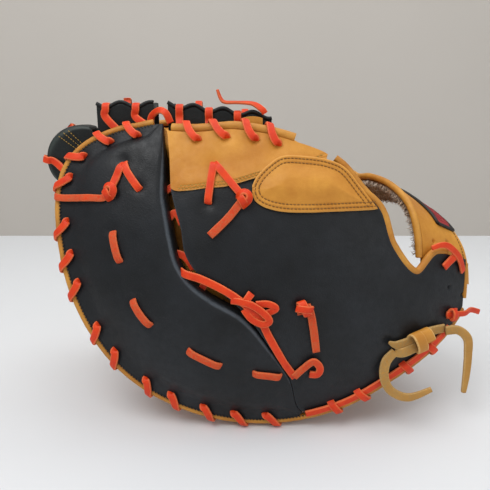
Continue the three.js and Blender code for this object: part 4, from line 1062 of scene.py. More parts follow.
def buildPiping():
    # welts between the shells and the palm, and rolled edges round the wrist
    for name, rail, first, last, radius, steps in piping["welts"]:
        outboard, depth = radius + mitt["clearance"], radius - mitt["weltProud"]
        pipeAlong(name, rail, first, last, outboard, depth, radius, steps)
    radius, half = mitt["bindingRadius"], mitt["shell"] / 2
    for name, rail, first, last, steps in piping["bindings"]:
        pipeAlong(name, rail, first, last, radius - piping["bindingTuck"], half, radius, steps)
    heel = alongCurve(piping["heel"], 12)
    path = onSide(1, mitt["length"] * heel[:, 0], mitt["height"] * heel[:, 1], half)
    tube = roundTube(path, piping["heelRadius"], 12, 0.04)
    makePiece("heel_binding_leather", [tube], "binding", ["heel_binding"])


def edgeStitches(rail, count):
    # dark whipped stitches over the shell's edge, down to the piping
    row = np.linspace(*piping["edgeRows"], count)
    face, out = railFrame(rail, row)[2:]
    return stitches(byRail(rail, row, -0.1, -0.05), face + 0.5 * out, **edgeThread)


buildPiping()
makePiece("rim_edge_stitching", [edgeStitches("fingerRim", 700)], "blackThread", ["back_rim"])
makePiece("thumb_edge_stitching", [edgeStitches("thumbRim", 600)], "blackThread", ["thumb_back"])
print("piping done")


# Laces
def overWelt(rail):
    # how far outboard a lace runs that goes round the piping
    welt = mitt["topWeltRadius"] if rail == "fingerEdge" else mitt["weltRadius"]
    return 2 * welt + mitt["clearance"] + mitt["laceLift"]


def whipLace(rail, loops, lean=1):
    # over the edge and down each hole in rounded turns, and along under the palm to the next
    out, under, inset = overWelt(rail), mitt["laceUnder"], mitt["laceInset"]
    stops = [   # outboard, depth, along, then the face's share of front and out
        (-2.6, under, 8.0, -1.0, 0.0), (0.45 * out, under - 0.9, 7.4, -0.6, 0.8), (out, 7.4, 6.6, 0.0, 1.0),
        (out, 2.4, 5.6, 0.2, 1.0), (0.62 * out, -1.1, 4.3, 0.8, 0.7), (-0.4, -2.3, 1.6, 1.0, 0.1),
        (-5.2, -2.0, -2.2, 1.0, -0.1), (0.4 - inset, -0.7, -4.2, 0.6, -0.8), (-inset, 2.4, -4.5, 0.0, -1.0),
        (-inset, 7.0, -4.5, 0.0, -1.0), (0.6 - inset, under - 0.8, -4.0, -0.7, -0.6),
    ]
    points, faces = [], []
    for k, row in enumerate(loops):
        at, ahead, face, outward = railFrame(rail, row)
        for share in (0.35, 0.7) if k else ():
            passing = loops[k - 1] + (row - loops[k - 1]) * share
            points.append(byRail(rail, passing, -inset * (1 - share / 2), under + 0.3))
            faces.append(-railFrame(rail, passing)[2])
        for beyond, depth, along, front, outer in stops:
            points.append(at + outward * beyond - face * depth + ahead * (lean * along))
            faces.append(face * front + outward * outer)
    return flatLace(points, faces, steps=4)


heelRun = {
    "rows": (13.15, 17.1),
    "inboard": 3.25,
    "lift": 1.7,
    "loops": (13.8, 14.4, 15.5, 16.3),
    "slant": 6.0,
    # outboard, depth, along, then the face's share of front and out
    "stops": [(-6.8, 1.5, -0.5, 0.2, -1), (-6.0, -1.6, -0.45, 0.8, -0.6), (-4.8, -3.4, -0.35, 1, 0),
              (-1.0, -3.9, -0.15, 1, 0), (4.4, -2.2, 0.1, 0.8, 0.7), (7.6, 2.0, 0.2, 0, 1),
              (7.4, 7.4, 0.3, 0, 1), (3.4, 11.4, 0.4, -1, 0.3), (-3.2, 11.8, 0.45, -1, 0)],
}


def heelLace():
    # a lace along the rim, crossed by short loops that go over the edge
    rail = "fingerRim"
    row = np.linspace(*heelRun["rows"], 26)
    line = byRail(rail, row, -heelRun["inboard"], -heelRun["lift"])
    parts = [flatLace(line, railFrame(rail, row)[2], steps=4)]
    beyond, depth, along, front, outer = np.array(heelRun["stops"]).T[:, :, None]
    for loop in heelRun["loops"]:
        at, ahead, face, out = railFrame(rail, loop)
        points = at + out * beyond - face * depth + ahead * along * heelRun["slant"]
        parts.append(flatLace(points, face * front + out * outer, steps=5))
    return parts


def buildEdgeLaces():
    # the whipped laces round the rims and along the top, and the heel's lace
    makePiece("rim_lace", [whipLace("fingerRim", rimLoops)], "orangeLace", ["rim_lacing"])
    makePiece("top_lace", [whipLace("fingerEdge", topLoops, -1)], "orangeLace", ["top_lacing"])
    makePiece("thumb_lace", [whipLace("thumbRim", thumbLoops)], "orangeLace", ["thumb_lacing"])
    makePiece("heel_lace", heelLace(), "orangeLace", ["heel_lacing"])


tieRun = {
    "along": [-0.06, 0.0, 0.12, 0.3, 0.5, 0.7, 0.88, 1.0, 1.06],
    "lift": [-3.0, -0.8, 1.0, 1.5, 1.6, 1.5, 1.0, -0.8, -3.0],
    "thick": 2.2,
}


def buildTies():
    # short laces that come up through the crescent, lie over it and go down again
    for k, places in enumerate(ties, 1):
        rows, shares = (np.interp(tieRun["along"], [0, 0.5, 1], column) for column in np.array(places).T)
        start = onCrescent(*places[0], 0)
        normal = faceNormal(1, start[0], start[2])
        line = onCrescent(rows, shares, 0) + normal * np.array(tieRun["lift"])[:, None]
        part = flatLace(line, normal, lace["tieWidth"], tieRun["thick"], flesh=1.0)
        makePiece("tie_%d_lace" % k, [part], "orangeLace", ["tie_%d" % k])


def windKnot(at, ahead, up, wide, high, run, turns, width=5.6, start=-2.5):
    # a lace wound round the lace that it holds: a flattened helix that moves on along it as it turns
    ahead = unit(np.asarray(ahead, float) - up * np.dot(ahead, up))
    across = np.cross(up, ahead)
    t = np.linspace(0, 1, int(10 * turns) + 4)
    angle = start + 2 * np.pi * turns * t
    outward = across * (np.cos(angle) * wide)[:, None] + up * (np.sin(angle) * high)[:, None]
    points = at + outward + up * (0.55 * high) + ahead * (run * (t - 0.5))[:, None]
    faces = across * (np.cos(angle) / wide)[:, None] + up * (np.sin(angle) / high)[:, None]
    return flatLace(points, unit(faces), width, 2.2, steps=5)


archShape = {"size": 3.9, "width": 5.8, "thick": 2.3, "reach": 2.35, "bandAt": 0.62, "bandHigh": 3.9}


def archKnot(at, away, up):
    # an arch of lace that opens towards the tail, and a short band that crosses under its feet
    size, width, thick, reach = (archShape[key] for key in ("size", "width", "thick", "reach"))
    away = unit(away - up * np.dot(away, up))
    across = np.cross(up, away)
    angle = np.linspace(-reach, reach, 13)
    radial = -away * np.cos(angle)[:, None] + across * np.sin(angle)[:, None]
    lift = 1.6 + 1.9 * np.cos(angle / 1.6) - 2.2 * (np.abs(angle) / reach) ** 6
    arch = at + radial * size + up * lift[:, None]
    shares = np.array([-1.15, -0.9, -0.4, 0.1, 0.6, 0.95, 1.1])[:, None]
    low = at + away * (archShape["bandAt"] * size + 1.4 * shares)
    band = low + across * shares * size + up * (archShape["bandHigh"] - 4.4 * np.abs(shares) ** 3)
    bandFaces = up + across * 0.9 * shares**3 + 0.25 * away
    return [flatLace(arch, up + 0.85 * radial, width, thick, steps=4),
            flatLace(band, bandFaces, width, thick, steps=5)]


def over(name):
    # a back lace's points lifted off the finger side, and the face's normals there
    share, level = np.array(backLaces[name]["places"]).T
    x, z = mitt["length"] * share, mitt["height"] * level
    return onSide(1, x, z, -np.asarray(backLaces[name]["lift"], float)), faceNormal(1, x, z)


def partWay(first, second, share, lift):
    # a share of the way from one point to the next, and lifted
    return first + (second - first) * share + lift


def buildTipLace():
    # two strands that dip into the tip, a knot, and a tail that runs out over the rim
    rows, shares = np.array(tipLace["places"]).T
    line = onCrescent(rows, shares, 0)
    up = faceNormal(1, line[:, 0], line[:, 2])
    line = line + up * np.array(tipLace["lift"])[:, None]
    first = [line[0], partWay(line[0], line[1], 0.15, up[0] * 3.0), line[1] + up[1] * 0.4,
             partWay(line[1], line[2], 0.8, up[2] * 2.6), line[2]]
    second = [line[2], partWay(line[2], line[3], 0.2, up[2] * 3.6),
              partWay(line[2], line[3], 0.5, up[2] * 2.2), line[3] + up[3] * 0.8]
    rimRows = np.array(tipLace["rimRows"])
    rim = byRail("fingerRim", rimRows, tipLace["rimOut"], tipLace["rimDepth"])
    tail = np.concatenate([[line[3] + up[3]], line[4:6] + up[4:6] * 0.3, rim])
    tailFaces = np.concatenate([up[3:6], railFrame("fingerRim", rimRows)[2]])
    tailFaces[-1] += 1.6 * railFrame("fingerRim", rimRows[-1])[3]
    parts = [flatLace(first, up[1], lace["backWidth"]), flatLace(second, up[2], lace["backWidth"]),
             flatLace(tail, tailFaces, tipLace["tailWidth"], flesh=1.0),
             *archKnot(line[3] + up[3] * 0.4, line[4] - line[3], up[3])]
    makePiece("tip_lace_leather", parts, "orangeLace", ["tip_lace"])


def buildIndexLace():
    # a peak of two strands through the panel, a knot and a flesh tail
    points, up = over("index")
    left = [points[0], partWay(points[0], points[1], 0.15, up[0] * 3.4), points[1] + up[1] * 0.5,
            partWay(points[1], points[2], 0.85, up[2] * 3.2), points[2]]
    right = [points[2], partWay(points[2], points[3], 0.15, up[2] * 3.6),
             partWay(points[2], points[3], 0.5, up[2] * 2.0), points[3] + up[3] * 0.6]
    tail = [points[3] + up[3] * 0.8, points[4], points[5]]
    parts = [flatLace(left, up[1], lace["backWidth"]), flatLace(right, up[3], lace["backWidth"]),
             flatLace(tail, up[4], lace["backWidth"], flesh=1.0),
             *archKnot(points[3] + up[3] * 0.4, points[4] - points[3], up[3])]
    makePiece("index_lace_leather", parts, "orangeLace", ["index_lace"])


def buildBackLaces():
    # the slot's knotted lace and the strands inside it, and the palm's, the fold's and the strap's laces
    widths = {"slot": 5.8, "slotRing": 5.4, "slotStub": 5.6, "slotSide": 5.2, "slotInside1": 5.6,
              "slotInside2": 5.6, "slotInside3": 5.6, "slotInside4": 5.6}
    parts = [flatLace(*over(name), width) for name, width in widths.items()]
    makePiece("slot_lace_leather", parts, "orangeLace", ["slot_lace"])

    points, up = over("palm")
    middle = points[0] * 0.55 + points[1] * 0.45
    tail = [middle + up[1] * 1.5, points[1], points[2], points[3]]
    parts = [windKnot(middle, (1, 0, 0.3), up[1], 5.4, 3.0, 5.5, 1.2, 6.2),
             windKnot(middle + up[1] * 1.4, (0.3, 0, 1), up[1], 5.2, 2.4, 3.0, 0.55, 5.4, -0.4),
             flatLace(tail, up[2], lace["backWidth"], flesh=[0.2, 0.6, 1, 1])]
    makePiece("palm_lace_leather", parts, "orangeLace", ["palm_lace"])

    part = flatLace(*over("fold"), lace["backWidth"], flesh=[1, 1, 0.8, 0, 0, 0.3])
    makePiece("fold_lace_leather", [part], "orangeLace", ["fold_lace"])
    parts = [flatLace(*over("strap"), [3.6, 4.6, 5.4, 5.8, 5.6]), flatLace(*over("strapStub"), 6.2)]
    makePiece("strap_lace_leather", parts, "orangeLace", ["strap_lace"])

    points, up = over("heelTail")
    tail = np.concatenate([points, [[186.0, -40.0, 84.5], [196.0, -33.0, 80.0]]])
    tailFaces = np.concatenate([up, up[-1:], up[-1:]])
    parts = [flatLace(tail, tailFaces, 4.6, 2.0),
             windKnot(points[1], points[2] - points[1], up[1], 4.4, 2.6, 5.0, 1.4, 4.6)]
    makePiece("heel_lace_tail", parts, "orangeLace", ["heel_lace_end"])


buildEdgeLaces()
buildTies()
buildTipLace()
buildIndexLace()
buildBackLaces()
print("laces done")


# The thong's knot at the heel
thongKnot = {
    "widths": [2.2, 7.0, 7.2, 7.2, 6.8],
    "thick": 2.6,
    "band": {"wide": 8.2, "high": 4.6, "run": 12.0, "turns": 1.65, "width": 9.4},
    "bandOffset": (3.0, 0, -1.0),
    "rootOffsets": [(4, -0.6, -6), (2, -1.0, -6)],
    "rootThick": 2.8,
}


def buildThongKnot():
    # the thong along the heel, the root of its first end beside it, and a band wound round both
    points, up = over("thong")
    band = windKnot(points[2] + thongKnot["bandOffset"], points[3] - points[1], up[2], **thongKnot["band"])
    root = [thongEnds["a"]["points"][0], *(points[1:3] + thongKnot["rootOffsets"])]
    widths = thongKnot["widths"]
    parts = [flatLace(points, up, widths, thongKnot["thick"], flesh=1.0),
             flatLace(root, thongEnds["a"]["faces"], widths[2], thongKnot["rootThick"], flesh=1.0)]
    makePiece("heel_tie_thong", parts, "thong", ["heel_tie"])
    makePiece("heel_tie_band", [band], "thongBand", ["heel_tie"])


buildThongKnot()
print("thong knot done")

# Web
web = {
    "bars": {
        "left": {"from": -0.361, "to": -0.222, "half": 13.0, "skirt": 9.0, "drop": 0.0,
                 "wave": 2.0, "waves": 1.89, "phase": 0.198},
        "right": {"from": -0.184, "to": 0.064, "half": 22.0, "skirt": 8.0, "drop": 9.0,
                  "wave": 2.0, "waves": 3.52, "phase": 0.109},
    },
    "rise": 14.0,
    "shoulder": 2.0,
    "leather": 3.0,
    "tipFrom": 2.8,
    "tipTo": 4.7,
    "tipHalf": 12.0,
    "tipTuck": 4.0,
    "tipReach": 28.0,
}


def barCrest(bar, x):
    # the bar's top edge, which falls evenly along it and waves by a cosine
    s = (x / mitt["length"] - bar["from"]) / (bar["to"] - bar["from"])
    wave = bar["wave"] * np.cos(2 * np.pi * (bar["waves"] * s + bar["phase"]))
    return mitt["height"] + web["rise"] - bar["drop"] * s + wave


def barProfile(edge, crest, bottom, inset):
    # half a bar's section: up the wall, over a rounded shoulder and down into the saddle
    stops = np.array([0, 0.2, 0.4, 0.52, 0.66, 0.82, 1.0])
    out = np.array([1, 1, 0.985, 0.9, 0.68, 0.34, 0])
    top = crest - inset
    heights = [bottom, bottom + 0.55 * (top - 3 - bottom)]
    heights += [top - fall for fall in (3.0, 1.4, 2.9, 6.2, 8.9)]
    position = np.interp(edge, stops, np.arange(7))
    stacked = np.stack([np.broadcast_to(h, crest.shape) for h in heights], -1)
    height = sum(stacked[..., k] * np.clip(1 - np.abs(position - k), 0, 1) for k in range(7))
    return np.interp(edge, stops, out) + 0 * crest, height


def buildBar(name, bar):
    # a saddle of leather over the top edge, its section swept along it, with a bead on its near edge
    x = np.linspace(mitt["length"] * bar["from"], mitt["length"] * bar["to"], 90)[:, None]
    edge = np.r_[np.linspace(0, 1, 40), np.linspace(1, 0, 40)[1:]][None]
    side = np.r_[-np.ones(40), np.ones(39)][None]
    crest = barCrest(bar, x) + 0 * edge
    bottom = mitt["height"] - bar["skirt"]
    surfaces = []
    for inset in (0.0, web["leather"]):
        share, height = barProfile(edge + 0 * x, crest, bottom, inset)
        y = side * share * (bar["half"] - inset)
        surfaces.append(np.stack([x + 0 * y, y, height], -1))
    soft = 0.5 * softField(surfaces[0], 11.0)
    surfaces[0][..., 1] += np.sign(side) * 0.4 * soft
    surfaces[0][..., 2] += 0.4 * soft
    wear = 0.6 * np.exp(-((edge + 0 * x - 0.5) / 0.07) ** 2)
    part = sheetWall(surfaces[0], surfaces[1], wear=wear)
    makePiece("web_bar_%s_leather" % name, [part], "webLeather", ["web_bar_" + name], bevel=0.8)
    line = np.stack([x[:, 0], np.full(len(x), -(bar["half"] + 0.1)), crest[:, 0] - 1.6], -1)
    bead = roundTube(line + np.array([0, 0.9, 0.6]), 1.5, 10, 0.12)
    makePiece("web_bar_%s_bead" % name, [bead], "webLeather", ["web_bar_" + name])


def hoodFrame(row):
    # the rim's place, the way out from it, and the hood's reach there, a flattened sine
    t = (row - web["tipFrom"]) / (web["tipTo"] - web["tipFrom"])
    x, z = rails["fingerRim"]["at"](row)
    out = railFrame("fingerRim", row)[3].copy()
    out[..., 1] = 0
    reach = web["tipReach"] * np.sin(np.pi * (0.12 + 0.78 * t)) ** 0.7
    return np.stack([x, 0 * x, z], -1), unit(out), reach


def buildTipHood():
    # a hood over the tip: up one wall, over and down the other, as high as its reach
    row = np.linspace(web["tipFrom"], web["tipTo"], 60)
    base, up, reach = hoodFrame(row)
    edge = np.r_[np.linspace(0, 1, 30), np.linspace(1, 0, 30)[1:]]
    side = np.r_[-np.ones(30), np.ones(29)]
    surfaces = []
    for inset in (0.0, web["leather"]):
        share = np.interp(edge, [0, 0.45, 0.6, 0.75, 1], [1, 0.98, 0.86, 0.5, 0])
        climb = np.interp(edge, [0, 0.45, 0.6, 0.75, 1], [0, 0.84, 0.96, 1, 1])
        height = -web["tipTuck"] + climb[None] * (reach[:, None] - inset + web["tipTuck"])
        points = base[:, None] + up[:, None] * height[..., None]
        points[..., 1] = (side * share)[None] * (web["tipHalf"] - inset)
        surfaces.append(points)
    surfaces[0] += 0.5 * softField(surfaces[0], 12.0)[..., None] * up[:, None]
    wear = 0.5 * np.exp(-((edge[None] + 0 * reach[:, None] - 0.52) / 0.08) ** 2)
    part = sheetWall(surfaces[0], surfaces[1], wear=wear)
    makePiece("web_tip_leather", [part], "webLeather", ["web_tip"], bevel=0.8)
    rows = []
    for at in (3.25, 3.37, 3.5):
        place, ahead, high = hoodFrame(np.array([at]))
        line = place + ahead * np.linspace(2.0, high[0] - 3.0, 20)[:, None]
        line[:, 1] = -web["tipHalf"] - 0.15
        rows.append(stitches(line, (0.0, -1.0, 0.0), 2.2, 1.6, 0.34))
    makePiece("web_tip_stitching", rows, "yellowThread", ["web_tip"])


webLaces = [
    {"over": "left", "at": -0.338, "rail": "fingerRim", "row": 1.85, "overRun": True},
    {"over": "left", "at": -0.265, "rail": "fingerRim", "row": 0.5, "overRun": False},
    {"over": "right", "at": -0.156, "rail": "fingerEdge", "row": 0.8, "overRun": False},
    {"over": "right", "at": -0.086, "rail": "fingerEdge", "row": 2.9, "overRun": True},
    {"over": "right", "at": -0.018, "rail": "fingerEdge", "row": 5.05, "overRun": True},
    {"over": "tip", "at": 4.1, "rail": "fingerRim", "row": 4.25, "overRun": True},
    {"over": "left", "at": -0.3, "rail": "thumbRim", "row": 0.8, "overRun": False},
    {"over": "right", "at": -0.12, "rail": "thumbEdge", "row": 2, "overRun": False},
    {"over": "right", "at": 0, "rail": "thumbEdge", "row": 5.6, "overRun": False},
    {"over": "tip", "at": 3.3, "rail": "thumbRim", "row": 2.8, "overRun": True},
]


def webLace(spec):
    # from inside the palm's edge, up a wall and over the shoulder of a bar or the hood
    if spec["over"] == "tip":
        base, up, reach = (v[0] for v in hoodFrame(np.array([float(spec["at"])])))
        shoulder, half, top = base + up * (reach - web["shoulder"]), web["tipHalf"], 3.1
    else:
        bar = web["bars"][spec["over"]]
        x = mitt["length"] * spec["at"]
        up = np.array([0.0, 0.0, 1.0])
        shoulder = np.array([x, 0, float(barCrest(bar, x)) - web["shoulder"]])
        half, top = bar["half"], 1.8
    side = rails[spec["rail"]]["side"]
    at, _, face, out = railFrame(spec["rail"], spec["row"])
    depth = mitt["laceUnder"] + (3.45 if spec["overRun"] else 0)
    near = np.array([0.0, -side, 0.0])
    stops = [(-7.2, half + 1.7), (-1.0, half + 1.75), (2.2, half + 0.6), (3.3, half - 3.0),
             (top, 0.75 * half), (top - 3.0, 0.6 * half)]
    points = [at - out * 5.6 - face * depth, at + out * 1.6 - face * depth]
    points += [np.array([shoulder[0], 0, shoulder[2]]) + up * high + near * away for high, away in stops]
    faces = [face * 0.4 + near, face * 0.5 + near, near, near, near + up, up + 0.3 * near, up, up]
    return flatLace(points, faces, 6.0, 2.2)


looseLaces = {
    "arch": [(-76, -14.8, 232), (-73.5, -15.5, 239.5), (-67, -21, 243.5), (-61.5, -24.3, 241.5),
             (-58, -24.4, 234)],
    "tail": [(15.5, -24.4, 241.2), (13.2, -24.4, 244.2), (6, -21, 248.5), (-6, -20, 249.4),
             (-15.5, -19.6, 249.6), (-19, -19, 252.5), (-21.5, -18.5, 259)],
    "tailFaces": [(0, -1, 0), (0, -1, 0.3), (0, -0.5, 1), (0, -0.2, 1), (0.4, -0.3, 1), (1, -0.3, 0.5),
                  (1, 0, 0.3)],
    "tailFlesh": [0, 0, 0.3, 0.6, 0.5, 0.3, 0.3],
}


def buildWeb():
    # both bars, the hood, their laces, the arch between the bars and the loose end of the top lace
    for name, bar in web["bars"].items():
        buildBar(name, bar)
    buildTipHood()
    for k, spec in enumerate(webLaces, 1):
        makePiece("web_strand_%d" % k, [webLace(spec)], "orangeLace", ["web_lace_%d" % k])
    arch = flatLace(looseLaces["arch"], (0, -1, 0.5), 5.6, 2.2)
    makePiece("web_arch_lace", [arch], "orangeLace", ["web_arch"])
    tail = flatLace(looseLaces["tail"], looseLaces["tailFaces"], 5.0, 2.1, flesh=looseLaces["tailFlesh"])
    makePiece("top_lace_tail", [tail], "orangeLace", ["top_lace_end"])


webTab = {"from": -0.006, "to": 0.042, "low": 0.972, "high": 0.045, "foot": 228.42, "front": -24.35,
          "back": -22.35, "bulge": 0.5, "corner": 0.12, "half": 7.8}


def buildWebTab():
    # a small tab, its top edge rounded by a square law and its face bulged by a sine
    x = np.linspace(webTab["from"], webTab["to"], 40)[:, None] * mitt["length"]
    t = np.linspace(0, 1, 40)[None]
    z = mitt["height"] * (webTab["low"] + webTab["high"] * t)
    arc = 1 - webTab["corner"] * ((x - x.mean()) / webTab["half"]) ** 2 * t
    level = webTab["foot"] + (z - webTab["foot"]) * arc
    bulge = webTab["bulge"] * np.sin(np.pi * t) + 0 * x
    front = np.stack([x + 0 * t, webTab["front"] - bulge, level], -1)
    back = np.stack([x + 0 * t, np.full(level.shape, webTab["back"]), level], -1)
    makePiece("web_tab_leather", [sheetWall(front, back)], "tanLeather", ["web_tab"], bevel=0.6)


buildWeb()
buildWebTab()
print("web done")


# Wrist strap
strap = {
    "innerX": [0.417, 0.415, 0.409, 0.399, 0.387, 0.366, 0.337, 0.32, 0.3, 0.276],
    "innerY": [-0.319, -0.311, -0.304, -0.265, -0.182, -0.057, 0.068, 0.2, 0.335, 0.372],
    "innerZ": [0.488, 0.553, 0.626, 0.7, 0.745, 0.776, 0.787, 0.774, 0.782, 0.755],
    "outerX": [0.56, 0.556, 0.541, 0.524, 0.5, 0.469, 0.432, 0.394, 0.357, 0.322],
    "outerY": [-0.18, -0.168, -0.168, -0.122, -0.045, 0.057, 0.17, 0.28, 0.388, 0.43],
    "outerZ": [0.443, 0.504, 0.564, 0.612, 0.65, 0.68, 0.702, 0.694, 0.655, 0.602],
    "leather": 3.0,
    "fleece": 4.0,
    "rowLength": 16,      # millimetres along the strap for one row
    "width": 46,          # millimetres across the strap
    "holes": [(2.05, 0.28), (2.2, 0.62)],
    "holeDepth": 2.6,
    "holeRadius": 1.3,
    "seamAt": 0.93,
}


def strapPoint(row, share, lift):
    # between the inner and outer edges, lifted square to the strap
    def corner(edge, r):
        # a place on the inner or outer edge
        sizes = (("length", "X"), ("openWidth", "Y"), ("height", "Z"))
        return np.stack([mitt[size] * readRow(strap[edge + axis], r) for size, axis in sizes], -1)

    def place(s, r):
        # a share of the straight way from the inner to the outer edge
        inner, outer = corner("inner", r), corner("outer", r)
        return inner + (outer - inner) * s[..., None]

    row, share, lift = np.broadcast_arrays(*(np.asarray(value, float) for value in (row, share, lift)))
    along = place(share, row + 0.05) - place(share, row - 0.05)
    across = place(share + 0.05, row) - place(share - 0.05, row)
    normal = unit(np.cross(across, along))
    return place(share, row) + normal * lift[..., None], normal


def buildStrap():
    # a wall with two holes and a sewn groove, its stitches, and the rolled edge beside it
    row = np.linspace(0, 9, 200)[:, None]
    share = np.linspace(0, 1, 60)[None]
    wide, seamShare = strap["width"], strap["seamAt"]
    away = [((row - r) * strap["rowLength"]) ** 2 + ((share - s) * wide) ** 2 for r, s in strap["holes"]]
    holes = sum(strap["holeDepth"] * np.exp(-square / strap["holeRadius"] ** 2) for square in away)
    base = strapPoint(row, share, 0)[0]
    groove = 0.4 * np.exp(-((share - seamShare) * wide / 0.6) ** 2)
    lift = strap["leather"] - groove + 0.5 * softField(base, 18.0) * share * (1 - share) * 4
    front = strapPoint(row, share, lift - holes)[0]
    wear = 0.5 * np.exp(-((1 - share) * wide / 1.2) ** 2) + 0 * row
    part = sheetWall(front, base, wear=wear)
    makePiece("wrist_strap_leather", [part], "tanLeather", ["wrist_strap"], bevel=0.7)
    line = strapPoint(np.linspace(0.2, 8.8, 400), seamShare, strap["leather"] - 0.25)
    makePiece("strap_stitching", [stitches(*line, **seam)], "ochreThread", ["wrist_strap"])
    rows = np.linspace(1.25, 7.5, 150)
    edge = strapPoint(rows, 0.0, strap["leather"] / 2)[0]
    beside = unit(strapPoint(rows, 0.0, 0)[0] - strapPoint(rows, 0.1, 0)[0])
    path = edge + beside * (mitt["bindingRadius"] + mitt["clearance"])
    tube = roundTube(path, mitt["bindingRadius"], 14, 0.04)
    makePiece("strap_binding_leather", [tube], "binding", ["strap_binding"])


badge = {"first": 3, "last": 5.9, "low": 0.5, "high": 0.93, "gap": 0.4, "pad": 0.6, "rise": 0.9,
         "edgeLift": 1.0, "edgeRadius": 1.3, "weaveLift": 1.45, "lines": 10}
weave = {"pitch": 1.4, "length": 2.6, "radius": 0.4, "slant": 1.2}


def buildBadge():
    # a padded patch: a red woven field inside a dark corded edge
    first, last, low, high = (badge[key] for key in ("first", "last", "low", "high"))
    leatherTop = strap["leather"]
    row = np.linspace(first, last, 50)[:, None]
    share = np.linspace(low, high, 40)[None]
    base = strapPoint(row, share, leatherTop + badge["gap"])[0]
    edge = np.minimum(np.minimum(row - first, last - row) * strap["rowLength"],
                      np.minimum(share - low, high - share) * strap["width"])
    front = strapPoint(row, share, leatherTop + badge["pad"] + badge["rise"] * smoothStep(edge / 3))[0]
    makePiece("badge_field", [sheetWall(front, base)], "redThread", ["strap_patch"], bevel=0.3)
    along, across = np.linspace(first, last, 40), np.linspace(low, high, 30)
    loopRow = np.r_[along, np.full(30, last), along[::-1], np.full(30, first)]
    loopShare = np.r_[np.full(40, low), across, np.full(40, high), across[::-1]]
    path = strapPoint(loopRow, loopShare, leatherTop + badge["edgeLift"])[0]
    cord = roundTube(path[::2], badge["edgeRadius"], 10, 0.1)
    makePiece("badge_edge", [cord], "blackThread", ["strap_patch"])
    line = np.linspace(first + 0.25, last - 0.25, 80)
    rows = [stitches(*strapPoint(line, s, leatherTop + badge["weaveLift"]), **weave)
            for s in np.linspace(low + 0.04, high - 0.04, badge["lines"])]
    makePiece("badge_weave", rows, "redThread", ["strap_patch"])


def pileMaterial():
    # blotched wool that darkens where a tuft carries more wear
    material, tree, shader, place = newMaterial("pile")
    blotch = noiseAt(tree, place, 60.0, 4.0)
    tone = mixColour(tree, ranged(tree, blotch, 0.35, 0.65), linear(190, 160, 130), linear(232, 220, 204))
    tone = mixColour(tree, readAttribute(tree, "wear"), tone, linear(150, 120, 96))
    tree.links.new(tone, shader.inputs["Base Color"])
    shader.inputs["Roughness"].default_value = 0.95
    shader.inputs["Sheen Weight"].default_value = 0.3
    return material


materials["pile"] = pileMaterial()
fleece = {"count": 6400, "length": 10.5, "radius": 0.34, "seed": 11, "steps": 7, "around": 3,
          "bedRows": (1.9, 7.1), "tuftRows": (1.3, 7.8), "rootLift": -2.0, "bump": 1.4, "top": -0.45}


def buildFleece():
    # a low bed of wool, and curled tufts that fall out of it by a square law and twist by a sine
    row = np.linspace(*fleece["bedRows"], 120)[:, None]
    share = np.linspace(0.03, 0.97, 60)[None]
    base = strapPoint(row, share, 0)[0]
    bed = strapPoint(row, share, -strap["fleece"] + fleece["bump"] * softField(base, 3.5))[0]
    roof = strapPoint(row, share, fleece["top"])[0]
    makePiece("fleece_bed", [sheetWall(roof, bed)], "pile", ["strap_fleece"])
    dice = np.random.RandomState(fleece["seed"])
    count, steps, around = (fleece[key] for key in ("count", "steps", "around"))
    rows, shares = dice.uniform(*fleece["tuftRows"], count), dice.uniform(-0.04, 1.0, count)
    root, up = strapPoint(rows, shares, fleece["rootLift"])
    drift = unit(dice.normal(size=(count, 3)))
    drift = unit(drift - up * np.einsum("ij,ij->i", drift, up)[:, None])
    other = np.cross(up, drift)
    t = np.linspace(0, 1, steps)
    length = fleece["length"] * dice.uniform(0.55, 1.1, count)
    curl = dice.uniform(1.5, 4.5, count)
    phase = dice.uniform(0, 6.28, count)
    down = -up[:, None] * (length[:, None] * (0.75 * t - 0.35 * t**2)[None])[..., None]
    swing = drift[:, None] * (length[:, None] * 0.3 * (t**1.4)[None])[..., None]
    turn = other[:, None] * (0.9 * np.sin(curl[:, None] * t * 3 + phase[:, None]) * t)[..., None]
    path = root[:, None] + down + swing + turn
    angle = (np.arange(around) * 2 * np.pi / around)[:, None]
    size = (fleece["radius"] * (1.1 - 0.9 * t**2))[:, None, None]
    ring = (drift[:, None, None] * np.cos(angle) + other[:, None, None] * np.sin(angle)) * size
    points = (path[:, :, None] + ring).reshape(-1, 3)
    quads = copiesOf(ringQuads(steps, around), steps * around, count)
    tone = np.repeat(dice.uniform(0, 1, count) ** 2, steps * around)
    makePiece("fleece_tufts", [meshOf(points, quads, wear=tone)], "pile", ["strap_fleece"])


buildStrap()
buildBadge()
buildFleece()
print("wrist strap done")


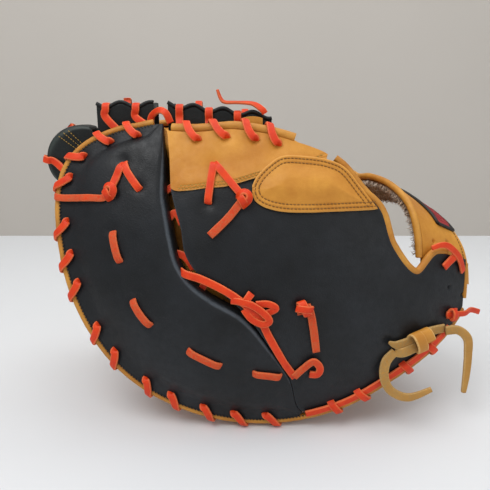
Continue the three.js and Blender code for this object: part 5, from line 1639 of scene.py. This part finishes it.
# Studio
studio = {
    "wallY": 549.0,
    "floor": (226, 228, 230),
    "wall": (190, 184, 176),
    "world": 0.48,
    # place, aim, size and power
    "lights": [
        ("key", (-0.5, -0.55, 1.25), (0, 0, 0.1), 0.9, 10.5),
        ("top", (0.25, 0.25, 1.3), (0, 0, 0.1), 1.2, 7.5),
        ("fill", (0.9, -0.9, 0.6), (0, 0, 0.12), 1.0, 2.8),
    ],
}


def stagePlane(name, corners, colour, rough):
    # a flat face through four corners, in a faintly clouded tone
    mesh = bpy.data.meshes.new(name)
    mesh.from_pydata((np.asarray(corners, float) / 1000).tolist(), [], [(0, 1, 2, 3)])
    plane = bpy.data.objects.new(name, mesh)
    bpy.context.scene.collection.objects.link(plane)
    material, tree, shader, place = newMaterial(name)
    cloud = noiseAt(tree, place, 3.0, 2.0)
    tone = mixColour(tree, cloud, linear(*[c - 6 for c in colour]), linear(*colour))
    tree.links.new(tone, shader.inputs["Base Color"])
    shader.inputs["Roughness"].default_value = rough
    mesh.materials.append(material)


def areaLight(name, place, aim, size, power):
    # a round light, turned so that it shines from its place towards its aim
    data = bpy.data.lights.new(name, "AREA")
    data.shape = "DISK"
    data.size = size
    data.energy = power
    light = bpy.data.objects.new(name, data)
    bpy.context.scene.collection.objects.link(light)
    light.location = place
    direction = np.array(aim, float) - np.array(place, float)
    light.rotation_euler = (math.acos(-direction[2] / np.linalg.norm(direction)), 0,
                            math.atan2(direction[1], direction[0]) - math.pi / 2)


wallY = studio["wallY"] + shift[1]
floorCorners = [(-3000, -2500, 0), (3000, -2500, 0), (3000, wallY, 0), (-3000, wallY, 0)]
wallCorners = [(-3000, wallY, 0), (3000, wallY, 0), (3000, wallY, 2500), (-3000, wallY, 2500)]
stagePlane("floor", floorCorners, studio["floor"], 0.55)
stagePlane("backdrop", wallCorners, studio["wall"], 0.8)
for light in studio["lights"]:
    areaLight(*light)
world = bpy.data.worlds.new("world")
world.use_nodes = True
world.node_tree.nodes["Background"].inputs[0].default_value = (0.95, 0.97, 1.0, 1)
world.node_tree.nodes["Background"].inputs[1].default_value = studio["world"]
bpy.context.scene.world = world
print("studio done")
